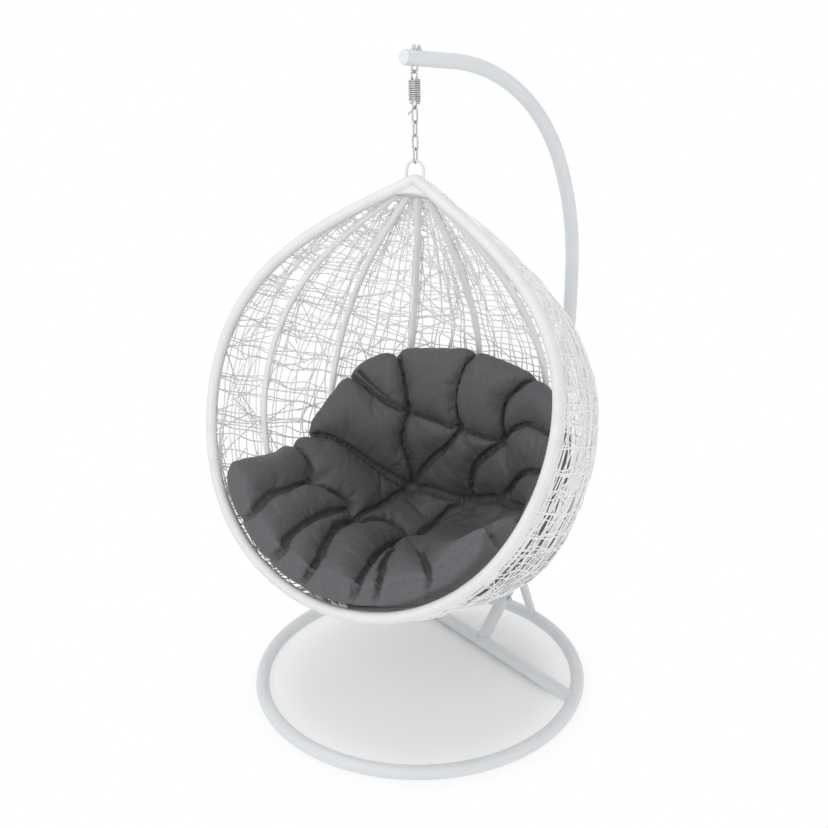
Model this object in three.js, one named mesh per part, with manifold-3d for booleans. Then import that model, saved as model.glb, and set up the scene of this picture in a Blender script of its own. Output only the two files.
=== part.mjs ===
// A hanging pod chair: an open-weave pod with a tufted cushion, hung on a spring and a
// short chain from a bowed steel post that stands on a round foot ring.
// Lengths are millimetres and angles degrees. +Z is up, the mouth of the pod faces -Y,
// and the origin is on the floor under the foot of the post.
import * as THREE from "three";
import { mergeVertices } from "three/addons/utils/BufferGeometryUtils.js";
import Module from "manifold-3d";

const wasm = await Module();
wasm.setup();

// Clearances and cutting
const gap = 0.3; // between two pieces that touch
const overrun = 15; // how far a cutter runs past what it cuts
const tubeSides = 12;
const rodSides = 8;
const hexSides = 6;

// Foot ring and crossbar
const ringRadius = 505;
const footTubeRadius = 21;
const ringSteps = 48;
const crossbarFromCentre = 265;

// Post, as the moves of a tube bender from the crossbar up: a straight length, or a
// bend of a radius to a new lean. Lean is from the vertical, positive to the back.
const postRadius = 21;
const footLean = 38;
const footStraight = 195;
const footBendRadius = 400;
const lowerLean = 24;
const bowRadius = 2300;
const uprightStraight = 55;
const shoulderRadius = 842;
const shoulderLean = -24;
const crookRadius = 530;
const crookLean = -71;
const armBendRadius = 514;
const armLean = -83;
const armStraight = 168;
const bendStep = 7;

// Sockets, bolts and the rear strut
const tubeWall = 2;
const stubLength = 183;
const spigotLength = 60;
const stubBoltBelowRim = 13;
const postJointHeight = 950;
const boltRadius = 4;
const boltHeadRadius = 7.5;
const boltHeadHeight = 5.5;
const nutHeight = 6.5;
const washerRadius = 9;
const washerThickness = 1.6;
const strutRadius = 15;
const lugThickness = 6;
const lugRadius = 13;
const lugBoltHeight = 204;
const lugBoltFromPostAxis = 36;
const strutPastBolt = 12;
const capThickness = 3;
const capPlugLength = 18;

// U-bolt through the arm
const hangFromTip = 37;
const uBoltRadius = 3;
const uBoltHalfWidth = 9;
const uBoltDrop = 37; // from the arm's axis to the axis of the bolt's bottom
const saddleRadius = 8;
const saddleHeight = 2.5;
const domeNutRadius = 6;
const domeNutHeight = 6;
const domeRadius = 5;

// Draw-bar spring
const barRadius = 2.25;
const barHalfWidth = 8.4;
const barHook = 7;
const coilWireRadius = 2.4;
const coilOuterRadius = 16.5;
const coilTurns = 10;
const coilPitch = 5.6;
const coilStepsPerTurn = 8;
const coilWireSides = 5;
const coilBelowBarTop = 24;
const barBelowCoil = 20;
const tailDrop = 28;
const tailSpread = 20;

// Chain
const linkWireRadius = 2.5;
const linkHalfWidth = 7.5;
const linkStraight = 26;
const linkCount = 4;

// Pod. The mouth is a plane that leans back with its apex up, and the back bulges
// behind it. Width and depth follow two profiles from apex to foot.
const podYaw = 19;
const podTilt = 23;
const mouthHeight = 1212;
const mouthHalfWidth = 560;
const podDepth = 768;
const sectionExponent = 2.68; // 2 would make each level section an ellipse
const widthShares = [1.35, 0.6, 0.18, 0.03];
const depthShares = [0.97, -0.09, 0.23, -0.09];
const rimRadius = 16.5;
const rimSteps = 22;
const rimSides = 10;
const apexHalfWidth = 14;
const hoopRadius = 4.2;
const hoopHalfWidth = 27.5;
const hoopAboveApex = 48;
const crownThickness = 4;
const crownDepth = 78;
const ribRadius = 10;
const ribAngles = [0, 21, -21, 50, -50, 76, -76];
const ribSides = 6;
const frameSteps = 16;
const stepSkewShare = 0.12; // closer steps under the pod, where it turns most
const ribStartShare = 0.05;
const ribEndShare = 0.975;

// Weave
const weaveThickness = 6;
const weaveOverRibs = 1.6;
const weaveColumns = [0, 10.5, 21, 35.5, 50, 63, 76, 84, 90];
const weaveRows = [2, 15]; // first and last frame step that it covers
const weaveHoleShare = 0.8;
const splitHoleShare = 0.66;
const splitBelow = -0.44; // cells whose scatter is lower are split in two
const holeShiftShare = 0.25;
const scatterMix = [12.9898, 78.233, 37.719, 43758.5453];
const weaveJitterShare = 0.16;
const solidCellWidth = 28;

// Cushion, laid out as rays from a point in the mouth of the pod to its wall
const raysDepth = 220; // of that point behind the mouth
const raysBelowApex = 560;
const seatDepth = 740; // of the cushion's middle, behind the mouth
const seatBelowApex = 980;
const cushionThickness = 132;
const cushionCrown = 26;
const cushionEdgeAngles = [68, 67, 67, 68, 69, 67, 64, 63, 74, 91, 85, 84, 86]; // top to front
const cushionOverhang = 25; // how far it swells out past the mouth
const cushionRimGap = 2.5;
const cushionRays = 48;
const cushionRings = 14;
const backRings = 6;
const leastWallSlope = 0.3; // of the wall to a ray
const rimLineSteps = 240;
const cushionPressed = 1; // how far the ribs press into its back
const edgeRoundness = 4.5;
const cushionReach = 520; // from its middle to its edge
const edgeNotchShare = 0.035; // how far a crease draws in the edge
const creaseDepth = 36;
const creaseSpread = 36;
const tuftDepth = 50;
const tuftSpread = 48;

// Tufts, and both ends of each crease: share of the way from the cushion's middle to
// its edge, and angle round from its top, in which minus is the sitter's right
const tuftShares = [0.54, 0.32, 0.46, 0.28, 0.03, 0.71, 0.38, 0.23];
const tuftAngles = [-56, 6, 56, -94, 91, -126, -137, -154];
const creaseShares = [
  [0.54, 1],
  [0.54, 1],
  [0.32, 1],
  [0.46, 1],
  [0.46, 1],
  [0.54, 0.32],
  [0.32, 0.46],
  [0.54, 0.28],
  [0.32, 0.28],
  [0.28, 1],
  [0.28, 0.03],
  [0.46, 0.03],
  [0.03, 1],
  [0.28, 0.38],
  [0.71, 1],
  [0.71, 0.38],
  [0.71, 1],
  [0.46, 1],
  [0.38, 1],
  [0.38, 0.23],
  [0.23, 1],
  [0.03, 0.23],
  [0.5, 1],
  [0.45, 1],
];
const creaseAngles = [
  [-56, -47],
  [-56, -70],
  [6, 9],
  [56, 48],
  [56, 77],
  [-56, 6],
  [6, 56],
  [-56, -94],
  [6, -94],
  [-94, -102],
  [-94, 91],
  [56, 91],
  [91, 102],
  [-94, -137],
  [-126, -115],
  [-126, -137],
  [-126, -155],
  [-134, -170],
  [-137, 176],
  [-137, -154],
  [-154, 168],
  [91, -154],
  [150, 153],
  [128, 132],
];

// Numeric steps
const profileSamples = 400;
const slopeNudge = 0.001;
const halvings = 40;

const degrees = THREE.MathUtils.degToRad;
const vector = (x, y, z) => new THREE.Vector3(x, y, z);
const along = (point, direction, distance) =>
  point.clone().addScaledVector(direction, distance);
const unitX = vector(1, 0, 0);
const unitY = vector(0, 1, 0);
const unitZ = vector(0, 0, 1);
const range = (count) => Array.from({ length: count }, (_, i) => i);

// Solids from vertices and triangles, and from three.js geometry
function solidOf(positions, triangles) {
  const mesh = new wasm.Mesh({
    numProp: 3,
    vertProperties: new Float32Array(positions),
    triVerts: new Uint32Array(triangles),
  });
  return new wasm.Manifold(mesh);
}

function solidFrom(geometry) {
  const bare = new THREE.BufferGeometry();
  bare.setAttribute("position", geometry.getAttribute("position"));
  bare.setIndex(geometry.getIndex());
  const merged = mergeVertices(bare);
  return solidOf(merged.getAttribute("position").array, merged.getIndex().array);
}

// A regular section whose first flat faces along its first axis
function roundSection(radius, sides) {
  return range(sides).map((k) => {
    const angle = ((k + 0.5) * 2 * Math.PI) / sides;
    return [radius * Math.cos(angle), radius * Math.sin(angle)];
  });
}

// A tube of a given section along points, mitred at each. across is the section's
// first axis, or gives it at a point.
function sweep(points, section, across, closed = false) {
  const last = points.length - 1;
  const positions = [];
  points.forEach((point, i) => {
    const before = points[closed && i === 0 ? last : Math.max(i - 1, 0)];
    const after = points[closed && i === last ? 0 : Math.min(i + 1, last)];
    const leaving = after.clone().sub(point).normalize();
    const arriving = point.clone().sub(before).normalize();
    if (!closed && i === 0) arriving.copy(leaving);
    if (!closed && i === last) leaving.copy(arriving);
    const ahead = arriving.clone().add(leaving).normalize();
    const bend = leaving.clone().sub(arriving).normalize();
    const stretch = 1 / ahead.dot(arriving) - 1;
    const side = (typeof across === "function" ? across(i) : across).clone();
    side.addScaledVector(ahead, -side.dot(ahead)).normalize();
    const rise = ahead.clone().cross(side);
    for (const [a, b] of section) {
      const offset = side.clone().multiplyScalar(a).addScaledVector(rise, b);
      offset.addScaledVector(bend, offset.dot(bend) * stretch);
      positions.push(...offset.add(point).toArray());
    }
  });
  const sides = section.length;
  const triangles = [];
  for (let i = 0; i < (closed ? last + 1 : last); i++) {
    const next = ((i + 1) % points.length) * sides;
    for (let k = 0; k < sides; k++) {
      const turn = (k + 1) % sides;
      triangles.push(i * sides + k, i * sides + turn, next + k);
      triangles.push(i * sides + turn, next + turn, next + k);
    }
  }
  for (let k = 1; !closed && k < sides - 1; k++) {
    triangles.push(0, k + 1, k);
    triangles.push(last * sides, last * sides + k, last * sides + k + 1);
  }
  return solidOf(positions, triangles);
}

// A straight rod between two points, with a flat of its section facing along across
function rod(from, to, radius, sides = rodSides, across = null) {
  const direction = to.clone().sub(from).normalize();
  const side = Math.abs(direction.x) < Math.SQRT1_2 ? unitX : unitZ;
  return sweep([from, to], roundSection(radius, sides), across ?? side);
}

const largestBody = (solid) =>
  solid.decompose().reduce((best, body) => (body.volume() > best.volume() ? body : best));

// Finishes
const finishes = {
  powderCoat: { color: 0xd5d8d9, roughness: 0.4, metalness: 0.1 },
  wicker: { color: 0xe6e5e3, roughness: 0.55, metalness: 0 },
  zinc: { color: 0xc9cbcc, roughness: 0.3, metalness: 0.9 },
  plastic: { color: 0xd0d3d4, roughness: 0.5, metalness: 0 },
  fabric: { color: 0x58585b, roughness: 0.95, metalness: 0 },
};

function addPiece(group, name, solid, finish) {
  const body = largestBody(solid).getMesh();
  const geometry = new THREE.BufferGeometry();
  const positions = new Float32Array(body.numVert * 3);
  for (let i = 0; i < body.numVert; i++) {
    const vertex = body.vertProperties.subarray(i * body.numProp, i * body.numProp + 3);
    positions.set(vertex, i * 3);
  }
  geometry.setAttribute("position", new THREE.BufferAttribute(positions, 3));
  geometry.setIndex(new THREE.BufferAttribute(new Uint32Array(body.triVerts), 1));
  const material = new THREE.MeshStandardMaterial({ ...finishes[finish], flatShading: true });
  const mesh = new THREE.Mesh(geometry, material);
  mesh.name = name;
  group.add(mesh);
}

const chair = new THREE.Group();
const stand = new THREE.Group();
chair.add(stand);

// A cutter of a tube's own size leaves its flats one gap away
const clear = (radius, sides = tubeSides) => radius + gap / Math.cos(Math.PI / sides);

// Foot ring, with one flat of its section on the floor
const footHeight = footTubeRadius * Math.cos(Math.PI / tubeSides);
const ringCentre = vector(0, -crossbarFromCentre, footHeight);

function ringSolid(radius) {
  const profile = roundSection(radius, tubeSides).map(
    ([a, b]) => new THREE.Vector2(ringRadius + a, b),
  );
  profile.push(profile[0].clone());
  const lathe = new THREE.LatheGeometry(profile, ringSteps);
  lathe.rotateX(Math.PI / 2);
  lathe.translate(ringCentre.x, ringCentre.y, ringCentre.z);
  return solidFrom(lathe);
}

const ring = ringSolid(footTubeRadius);
const ringCutter = ringSolid(clear(footTubeRadius));
addPiece(stand, "base_ring", ring, "powderCoat");

// Crossbar, coped into the ring at both ends
const crossbarHalf = Math.sqrt(ringRadius ** 2 - crossbarFromCentre ** 2);
const crossbarEnd = (side) => vector(side * crossbarHalf, 0, footHeight);
const crossbarOf = (radius) =>
  rod(crossbarEnd(-1), crossbarEnd(1), radius, tubeSides, unitZ);
addPiece(stand, "crossbar", crossbarOf(footTubeRadius).subtract(ringCutter), "powderCoat");

// Post path from the crossbar's axis: each station has its point, lean and length so far
const leanDirection = (lean) => vector(0, Math.sin(degrees(lean)), Math.cos(degrees(lean)));

function bentPath(start, startLean, moves) {
  const stations = [{ point: start, lean: startLean, length: 0 }];
  for (const move of moves) {
    const from = stations[stations.length - 1];
    if (move.straight) {
      const point = along(from.point, leanDirection(from.lean), move.straight);
      stations.push({ point, lean: from.lean, length: from.length + move.straight });
      continue;
    }
    const steps = Math.max(Math.ceil((from.lean - move.lean) / bendStep), 1);
    for (let i = 1; i <= steps; i++) {
      const lean = from.lean + ((move.lean - from.lean) * i) / steps;
      const [a, b] = [degrees(from.lean), degrees(lean)];
      const point = vector(
        from.point.x,
        from.point.y + move.radius * (Math.cos(b) - Math.cos(a)),
        from.point.z + move.radius * (Math.sin(a) - Math.sin(b)),
      );
      stations.push({ point, lean, length: from.length + move.radius * (a - b) });
    }
  }
  return stations;
}

const postFoot = vector(0, 0, footHeight);
const postPath = bentPath(postFoot, footLean, [
  { straight: footStraight },
  { radius: footBendRadius, lean: lowerLean },
  { radius: bowRadius, lean: 0 },
  { straight: uprightStraight },
  { radius: shoulderRadius, lean: shoulderLean },
  { radius: crookRadius, lean: crookLean },
  { radius: armBendRadius, lean: armLean },
  { straight: armStraight },
]);

// The place on the path where value(station) reaches target, between two stations
function stationWhere(value, target) {
  const next = postPath.findIndex((station) => value(station) >= target);
  const [a, b] = [postPath[next - 1], postPath[next]];
  const share = (target - value(a)) / (value(b) - value(a));
  return {
    point: a.point.clone().lerp(b.point, share),
    direction: b.point.clone().sub(a.point).normalize(),
    length: a.length + (b.length - a.length) * share,
  };
}

const byLength = (station) => station.length;
const byHeight = (station) => station.point.z;
const tubeSection = (radius) => roundSection(radius, tubeSides);

function postBetween(from, to, radius) {
  const inside = postPath.filter(
    (station) => station.length > from.length + gap && station.length < to.length - gap,
  );
  const points = [from.point, ...inside.map((station) => station.point), to.point];
  return sweep(points, tubeSection(radius), unitX);
}

const spigotRadius = postRadius - tubeWall - gap;
const socketRadius = postRadius - tubeWall;
const rimOfStub = stationWhere(byLength, stubLength);
const postJoint = stationWhere(byHeight, postJointHeight);
const tip = {
  point: postPath[postPath.length - 1].point,
  direction: leanDirection(armLean),
  length: postPath[postPath.length - 1].length,
};

// Cross bolts run along X through a tube. Each set has a bolt, a washer and a nut.
function crossBoltHole(centre) {
  const reach = postRadius + overrun;
  return rod(along(centre, unitX, -reach), along(centre, unitX, reach), clear(boltRadius, rodSides));
}

function hexPiece(centre, from, to, radius) {
  return rod(along(centre, unitX, from), along(centre, unitX, to), radius, hexSides);
}

function addCrossBolt(names, centre, seat, withWasher) {
  const washerRoom = withWasher ? washerThickness + gap : 0;
  const headSeat = seat + gap + washerRoom;
  const nutSeat = seat + gap;
  const end = nutSeat + nutHeight + boltRadius / 2;
  const shank = rod(along(centre, unitX, -end), along(centre, unitX, headSeat + gap), boltRadius);
  const head = hexPiece(centre, headSeat, headSeat + boltHeadHeight, boltHeadRadius);
  addPiece(stand, names.bolt, shank.add(head), "zinc");
  const hole = crossBoltHole(centre);
  if (withWasher) {
    const washer = rod(
      along(centre, unitX, seat + gap),
      along(centre, unitX, seat + gap + washerThickness),
      washerRadius,
      tubeSides,
    );
    addPiece(stand, names.washer, washer.subtract(hole), "zinc");
  }
  const nut = hexPiece(centre, -nutSeat - nutHeight, -nutSeat, boltHeadRadius);
  addPiece(stand, names.nut, nut.subtract(hole), "zinc");
}

// Stub: an open tube coped and welded on the crossbar
const tubeFlat = postRadius * Math.cos(Math.PI / tubeSides);
const stubDirection = leanDirection(footLean);
const stubBolt = along(rimOfStub.point, stubDirection, -stubBoltBelowRim);
const stub = rod(postFoot, rimOfStub.point, postRadius, tubeSides, unitX)
  .subtract(rod(postFoot, along(rimOfStub.point, stubDirection, overrun), socketRadius, tubeSides, unitX))
  .subtract(crossbarOf(clear(footTubeRadius)))
  .subtract(crossBoltHole(stubBolt));
addPiece(stand, "stub_tube", stub, "powderCoat");

// Lower post: a spigot in the stub and a socket at its upper end
const lowerStart = stationWhere(byLength, stubLength + gap);
const postLower = postBetween(lowerStart, postJoint, postRadius)
  .add(
    rod(
      along(lowerStart.point, stubDirection, -spigotLength),
      along(lowerStart.point, stubDirection, tubeWall),
      spigotRadius,
      tubeSides,
      unitX,
    ),
  )
  .subtract(
    rod(
      along(postJoint.point, postJoint.direction, -spigotLength - gap),
      along(postJoint.point, postJoint.direction, overrun),
      socketRadius,
      tubeSides,
      unitX,
    ),
  );
const jointBolt = along(postJoint.point, postJoint.direction, -spigotLength / 2);
addPiece(
  stand,
  "post_lower",
  postLower.subtract(crossBoltHole(stubBolt)).subtract(crossBoltHole(jointBolt)),
  "powderCoat",
);
addCrossBolt(
  { bolt: "stub_bolt", washer: "stub_bolt_washer", nut: "stub_bolt_nut" },
  stubBolt,
  tubeFlat,
  true,
);
addCrossBolt({ bolt: "post_joint_bolt", nut: "post_joint_nut" }, jointBolt, tubeFlat, false);

// Upper post: a spigot in the lower one, the U-bolt's two holes and a bored tip
const armDirection = tip.direction;
const armUp = unitX.clone().cross(armDirection).multiplyScalar(-1);
const hangOnArm = along(tip.point, armDirection, -hangFromTip);
const uBoltLegs = [1, -1].map((side) => along(hangOnArm, armDirection, side * uBoltHalfWidth));
const uBoltReach = postRadius + saddleHeight + domeNutHeight;
const legHole = (leg) =>
  rod(along(leg, armUp, -postRadius - overrun), along(leg, armUp, uBoltReach + gap), clear(uBoltRadius, rodSides));
const upperStart = stationWhere(byLength, postJoint.length + gap);
let postUpper = postBetween(upperStart, tip, postRadius)
  .add(
    rod(
      along(upperStart.point, postJoint.direction, -spigotLength),
      along(upperStart.point, postJoint.direction, tubeWall),
      spigotRadius,
      tubeSides,
      unitX,
    ),
  )
  .subtract(crossBoltHole(jointBolt))
  .subtract(
    rod(
      along(tip.point, armDirection, -capPlugLength - gap),
      along(tip.point, armDirection, overrun),
      socketRadius,
      tubeSides,
      unitX,
    ),
  );
for (const leg of uBoltLegs) postUpper = postUpper.subtract(legHole(leg));
addPiece(stand, "post_upper", postUpper, "powderCoat");

// End cap: a disc with a plug in the bored tip
const capSeat = along(tip.point, armDirection, gap);
const capPlug = rod(along(capSeat, armDirection, -capPlugLength), capSeat, spigotRadius, tubeSides, unitX);
const capDisc = rod(capSeat, along(capSeat, armDirection, capThickness), postRadius, tubeSides, unitX);
addPiece(stand, "arm_end_cap", capPlug.add(capDisc), "plastic");

// Rear strut, slotted round a lug on the back of the post
const strutFoot = vector(0, ringRadius - crossbarFromCentre, footHeight);
const lugStation = stationWhere(byHeight, lugBoltHeight);
const lugBolt = along(lugStation.point, unitY, lugBoltFromPostAxis);
const strutDirection = lugBolt.clone().sub(strutFoot).normalize();
const postCutter = postBetween(lowerStart, postJoint, clear(postRadius));
const lugReach = along(lugBolt, unitY, -lugBoltFromPostAxis);
const halfLug = (side) => vector((side * lugThickness) / 2, 0, 0);
const lugPlate = rod(lugBolt.clone().add(halfLug(-1)), lugBolt.clone().add(halfLug(1)), lugRadius, tubeSides);
const lugNeck = sweep(
  [lugReach, lugBolt],
  [
    [-lugThickness / 2, -lugRadius],
    [lugThickness / 2, -lugRadius],
    [lugThickness / 2, lugRadius],
    [-lugThickness / 2, lugRadius],
  ],
  unitX,
);
const lugHole = crossBoltHole(lugBolt);
addPiece(stand, "strut_lug", lugPlate.add(lugNeck).subtract(postCutter).subtract(lugHole), "powderCoat");

const strutEnd = along(lugBolt, strutDirection, strutPastBolt);
const slotHalf = lugThickness / 2 + gap;
const slotBottom = along(lugBolt, strutDirection, -lugRadius - strutPastBolt / 2);
const slot = sweep(
  [slotBottom, along(lugBolt, strutDirection, strutPastBolt + overrun)],
  [
    [-slotHalf, -strutRadius - overrun],
    [slotHalf, -strutRadius - overrun],
    [slotHalf, strutRadius + overrun],
    [-slotHalf, strutRadius + overrun],
  ],
  unitX,
);
const strut = rod(strutFoot, strutEnd, strutRadius, tubeSides, unitX)
  .subtract(ringCutter)
  .subtract(postCutter)
  .subtract(slot)
  .subtract(lugHole);
addPiece(stand, "rear_strut", strut, "powderCoat");
addCrossBolt(
  { bolt: "strut_bolt", nut: "strut_bolt_nut" },
  lugBolt,
  strutRadius * Math.cos(Math.PI / tubeSides),
  false,
);

// U-bolt: two legs up through the arm and a round bottom that the spring hangs on
const uBoltBottom = along(hangOnArm, armUp, -uBoltDrop);
const uBoltCentre = along(uBoltBottom, armUp, uBoltHalfWidth);
const uBoltArcSteps = 8;
const uBoltPath = [
  along(uBoltLegs[0], armUp, uBoltReach),
  ...range(uBoltArcSteps + 1).map((i) => {
    const angle = (i * Math.PI) / uBoltArcSteps;
    const sideways = along(uBoltCentre, armDirection, uBoltHalfWidth * Math.cos(angle));
    return along(sideways, armUp, -uBoltHalfWidth * Math.sin(angle));
  }),
  along(uBoltLegs[1], armUp, uBoltReach),
];
addPiece(stand, "u_bolt", sweep(uBoltPath, roundSection(uBoltRadius, rodSides), unitX), "zinc");

const armCutter = rod(
  along(tip.point, armDirection, -armStraight),
  tip.point,
  clear(postRadius),
  tubeSides,
  unitX,
);
["front", "back"].forEach((place, i) => {
  const leg = uBoltLegs[i];
  const seatTop = postRadius + saddleHeight;
  const saddle = rod(along(leg, armUp, postRadius / 2), along(leg, armUp, seatTop), saddleRadius, tubeSides);
  const seat = saddle.subtract(armCutter).subtract(legHole(leg));
  addPiece(stand, "u_bolt_seat_" + place, seat, "zinc");
  const nutBase = along(leg, armUp, seatTop + gap);
  const nutTop = along(nutBase, armUp, domeNutHeight);
  const hex = rod(nutBase, nutTop, domeNutRadius, hexSides);
  const dome = solidFrom(new THREE.SphereGeometry(domeRadius, tubeSides, rodSides)).translate(
    nutTop.toArray(),
  );
  addPiece(stand, "u_bolt_nut_" + place, hex.add(dome).subtract(legHole(leg)), "zinc");
});

// Everything that hangs shares one upright axis and the pod's turn about it. Heights
// below are above the floor.
const hanging = new THREE.Group();
hanging.position.set(uBoltBottom.x, uBoltBottom.y, 0);
hanging.rotation.z = degrees(podYaw);
chair.add(hanging);

// A hairpin in the plane of across: a round bend and two legs to legZ, each ending in a
// hook that turns outwards. up is 1 for a bend at the top and -1 at the bottom.
const hairpinSteps = 6;

function hairpin(bendZ, legZ, up, across) {
  const centreZ = bendZ - up * barHalfWidth;
  const place = (sideways, z) => along(vector(0, 0, z), across, sideways);
  const arc = range(hairpinSteps + 1).map((i) => {
    const angle = (i * Math.PI) / hairpinSteps;
    return place(barHalfWidth * Math.cos(angle), centreZ + up * barHalfWidth * Math.sin(angle));
  });
  const hookOut = barHalfWidth + barHook;
  const points = [place(hookOut, legZ), place(barHalfWidth, legZ), ...arc];
  points.push(place(-barHalfWidth, legZ), place(-hookOut, legZ));
  const normal = unitZ.clone().cross(across);
  return sweep(points, roundSection(barRadius, rodSides), normal);
}

const uBoltRise = barRadius ** 2 / (2 * (uBoltHalfWidth - uBoltRadius)); // over the bar's width
const barTop = uBoltBottom.z + uBoltRadius + barRadius + uBoltRise + gap;
const coilHeight = coilPitch * coilTurns;
const coilTop = barTop - coilBelowBarTop;
const coilBottom = coilTop - coilHeight;
const upperHookZ = coilBottom - coilWireRadius - barRadius - gap;
const lowerHookZ = coilTop + coilWireRadius + barRadius + gap;
const barBottom = coilBottom - barBelowCoil;
addPiece(hanging, "spring_upper_bar", hairpin(barTop, upperHookZ, 1, unitX), "zinc");

const tailStart = vector(0, barHalfWidth, coilBottom - barRadius * 2);
const tailEnd = vector(-tailSpread, barHalfWidth, tailStart.z - tailDrop);
const tail = rod(tailStart, tailEnd, barRadius * Math.SQRT1_2);
addPiece(
  hanging,
  "spring_lower_bar",
  hairpin(barBottom, lowerHookZ, -1, unitY).add(tail),
  "zinc",
);

// Spring: one unbroken wire whose ends run straight for one wire diameter
const coilMean = coilOuterRadius - coilWireRadius;
const coilAngle = (i) => (i * 2 * Math.PI) / coilStepsPerTurn;
const coilPoint = (i) =>
  vector(
    coilMean * Math.cos(coilAngle(i)),
    coilMean * Math.sin(coilAngle(i)),
    coilBottom + (i * coilPitch) / coilStepsPerTurn,
  );
const coilSteps = coilTurns * coilStepsPerTurn;
const coilCentres = range(coilSteps + 1).map(coilPoint);
const beyond = (end, before) =>
  along(end, end.clone().sub(before).normalize(), coilWireRadius * 2);
const coilPoints = [
  beyond(coilCentres[0], coilCentres[1]),
  ...coilCentres,
  beyond(coilCentres[coilSteps], coilCentres[coilSteps - 1]),
];
const coilOut = (i) => {
  const step = Math.min(Math.max(i - 1, 0), coilSteps);
  return vector(Math.cos(coilAngle(step)), Math.sin(coilAngle(step)), 0);
};
const coil = sweep(coilPoints, roundSection(coilWireRadius, coilWireSides), coilOut);
addPiece(hanging, "spring_coil", coil, "zinc");

let coilGap = Infinity;
coilPoints.forEach((a, i) =>
  coilPoints.slice(i + coilStepsPerTurn / 2).forEach((b) => {
    coilGap = Math.min(coilGap, a.distanceTo(b) - 2 * coilWireRadius);
  }),
);
console.log("spring_coil: least gap to itself " + coilGap.toFixed(2) + " mm");

// Chain: round-ended links, each a quarter turn from the last
const linkBendSteps = 6;
const linkWireSides = 6;
const linkLength = linkStraight + 2 * linkHalfWidth;
const linkStep = linkLength - 2 * linkWireRadius - gap;
const firstLinkTop = barBottom + barRadius + linkWireRadius + gap;

function linkSolid(top, across) {
  const upperCentre = top - linkHalfWidth;
  const end = (up) =>
    range(linkBendSteps + 1).map((i) => {
      const angle = (i * Math.PI) / linkBendSteps + (up > 0 ? 0 : Math.PI);
      const z = up > 0 ? upperCentre : upperCentre - linkStraight;
      return along(
        vector(0, 0, z + linkHalfWidth * Math.sin(angle)),
        across,
        linkHalfWidth * Math.cos(angle),
      );
    });
  const section = roundSection(linkWireRadius, linkWireSides);
  return sweep([...end(1), ...end(-1)], section, unitZ.clone().cross(across), true);
}

for (let i = 0; i < linkCount; i++) {
  const solid = linkSolid(firstLinkTop - i * linkStep, i % 2 === 0 ? unitX : unitY);
  addPiece(hanging, "chain_link_" + (i + 1), solid, "zinc");
}

// Pod frame: X to the sitter's left, Y to the back, Z up along the mouth, apex at zero
const lastLinkBottom = firstLinkTop - (linkCount - 1) * linkStep - linkLength;
const hoopCrown = lastLinkBottom + linkWireRadius + hoopRadius + gap;
const pod = new THREE.Group();
pod.position.z = hoopCrown - hoopAboveApex;
pod.rotation.x = -degrees(podTilt);
hanging.add(pod);

function profileOf([sharpness, first, second, third]) {
  const shape = (t) =>
    Math.sin(t) *
    Math.sin(t / 2) ** sharpness *
    (1 + first * Math.cos(t) + second * Math.cos(2 * t) + third * Math.cos(3 * t));
  const most = Math.max(
    ...range(profileSamples).map((i) => shape((i * Math.PI) / profileSamples)),
  );
  return (t) => shape(t) / most;
}

const widthProfile = profileOf(widthShares);
const depthProfile = profileOf(depthShares);
const halfWidthAt = (t) => mouthHalfWidth * widthProfile(t);
const depthAt = (t) => podDepth * depthProfile(t);
const belowApex = (t) => (mouthHeight * (1 - Math.cos(t))) / 2;

// A point of the pod's surface: t runs from apex (0) to foot (PI), and angle from the
// sitter's right rim (-90) over the back (0) to the left rim (90)
function podPoint(t, angle) {
  const [sine, cosine] = [Math.sin(degrees(angle)), Math.max(Math.cos(degrees(angle)), 0)];
  const power = 2 / sectionExponent;
  return vector(
    halfWidthAt(t) * Math.sign(sine) * Math.abs(sine) ** power,
    depthAt(t) * cosine ** power,
    -belowApex(t),
  );
}

function podNormal(t, angle) {
  const [sine, cosine] = [Math.sin(degrees(angle)), Math.max(Math.cos(degrees(angle)), 0)];
  const power = (2 * (sectionExponent - 1)) / sectionExponent;
  const step = (size) => size(t + slopeNudge) - size(t - slopeNudge);
  const slope = (size) => step(size) / step(belowApex);
  return vector(
    (Math.sign(sine) * Math.abs(sine) ** power) / halfWidthAt(t),
    cosine ** power / depthAt(t),
    (sine ** 2 * slope(halfWidthAt)) / halfWidthAt(t) + (cosine ** 2 * slope(depthAt)) / depthAt(t),
  ).normalize();
}

const podOffset = (t, angle, distance) => along(podPoint(t, angle), podNormal(t, angle), distance);

// Rim: two sides joined over the apex by a small round bend
function solveT(size, target) {
  let [low, high] = [0, Math.PI / 2];
  for (let i = 0; i < halvings; i++) {
    const middle = (low + high) / 2;
    if (size(middle) < target) low = middle;
    else high = middle;
  }
  return low;
}

const apexT = solveT(halfWidthAt, apexHalfWidth);
const rimSide = range(rimSteps).map((i) => podPoint(apexT + ((Math.PI - apexT) * i) / rimSteps, 90));
const apexTangent = rimSide[1].clone().sub(rimSide[0]).normalize();
const apexBend = rimSide[0].x / -apexTangent.z;
const apexCentre = vector(0, 0, rimSide[0].z - apexBend * apexTangent.x);
const apexTurn = Math.acos(rimSide[0].x / apexBend);
const apexSteps = 5;
const apexArc = range(apexSteps - 1).map((i) => {
  const angle = Math.PI - apexTurn - ((Math.PI - 2 * apexTurn) * (i + 1)) / apexSteps;
  return vector(apexBend * Math.cos(angle), 0, apexCentre.z + apexBend * Math.sin(angle));
});
const rimFoot = vector(0, 0, -mouthHeight);
const mirrored = (point) => vector(-point.x, point.y, point.z);
const rimPoints = [
  ...apexArc,
  ...rimSide,
  rimFoot,
  ...rimSide.slice().reverse().map(mirrored),
];
const rimOf = (radius) => sweep(rimPoints, roundSection(radius, rimSides), unitY, true);
const rimCutter = rimOf(clear(rimRadius, rimSides));
addPiece(pod, "rim_hoop", rimOf(rimRadius), "wicker");

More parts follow.
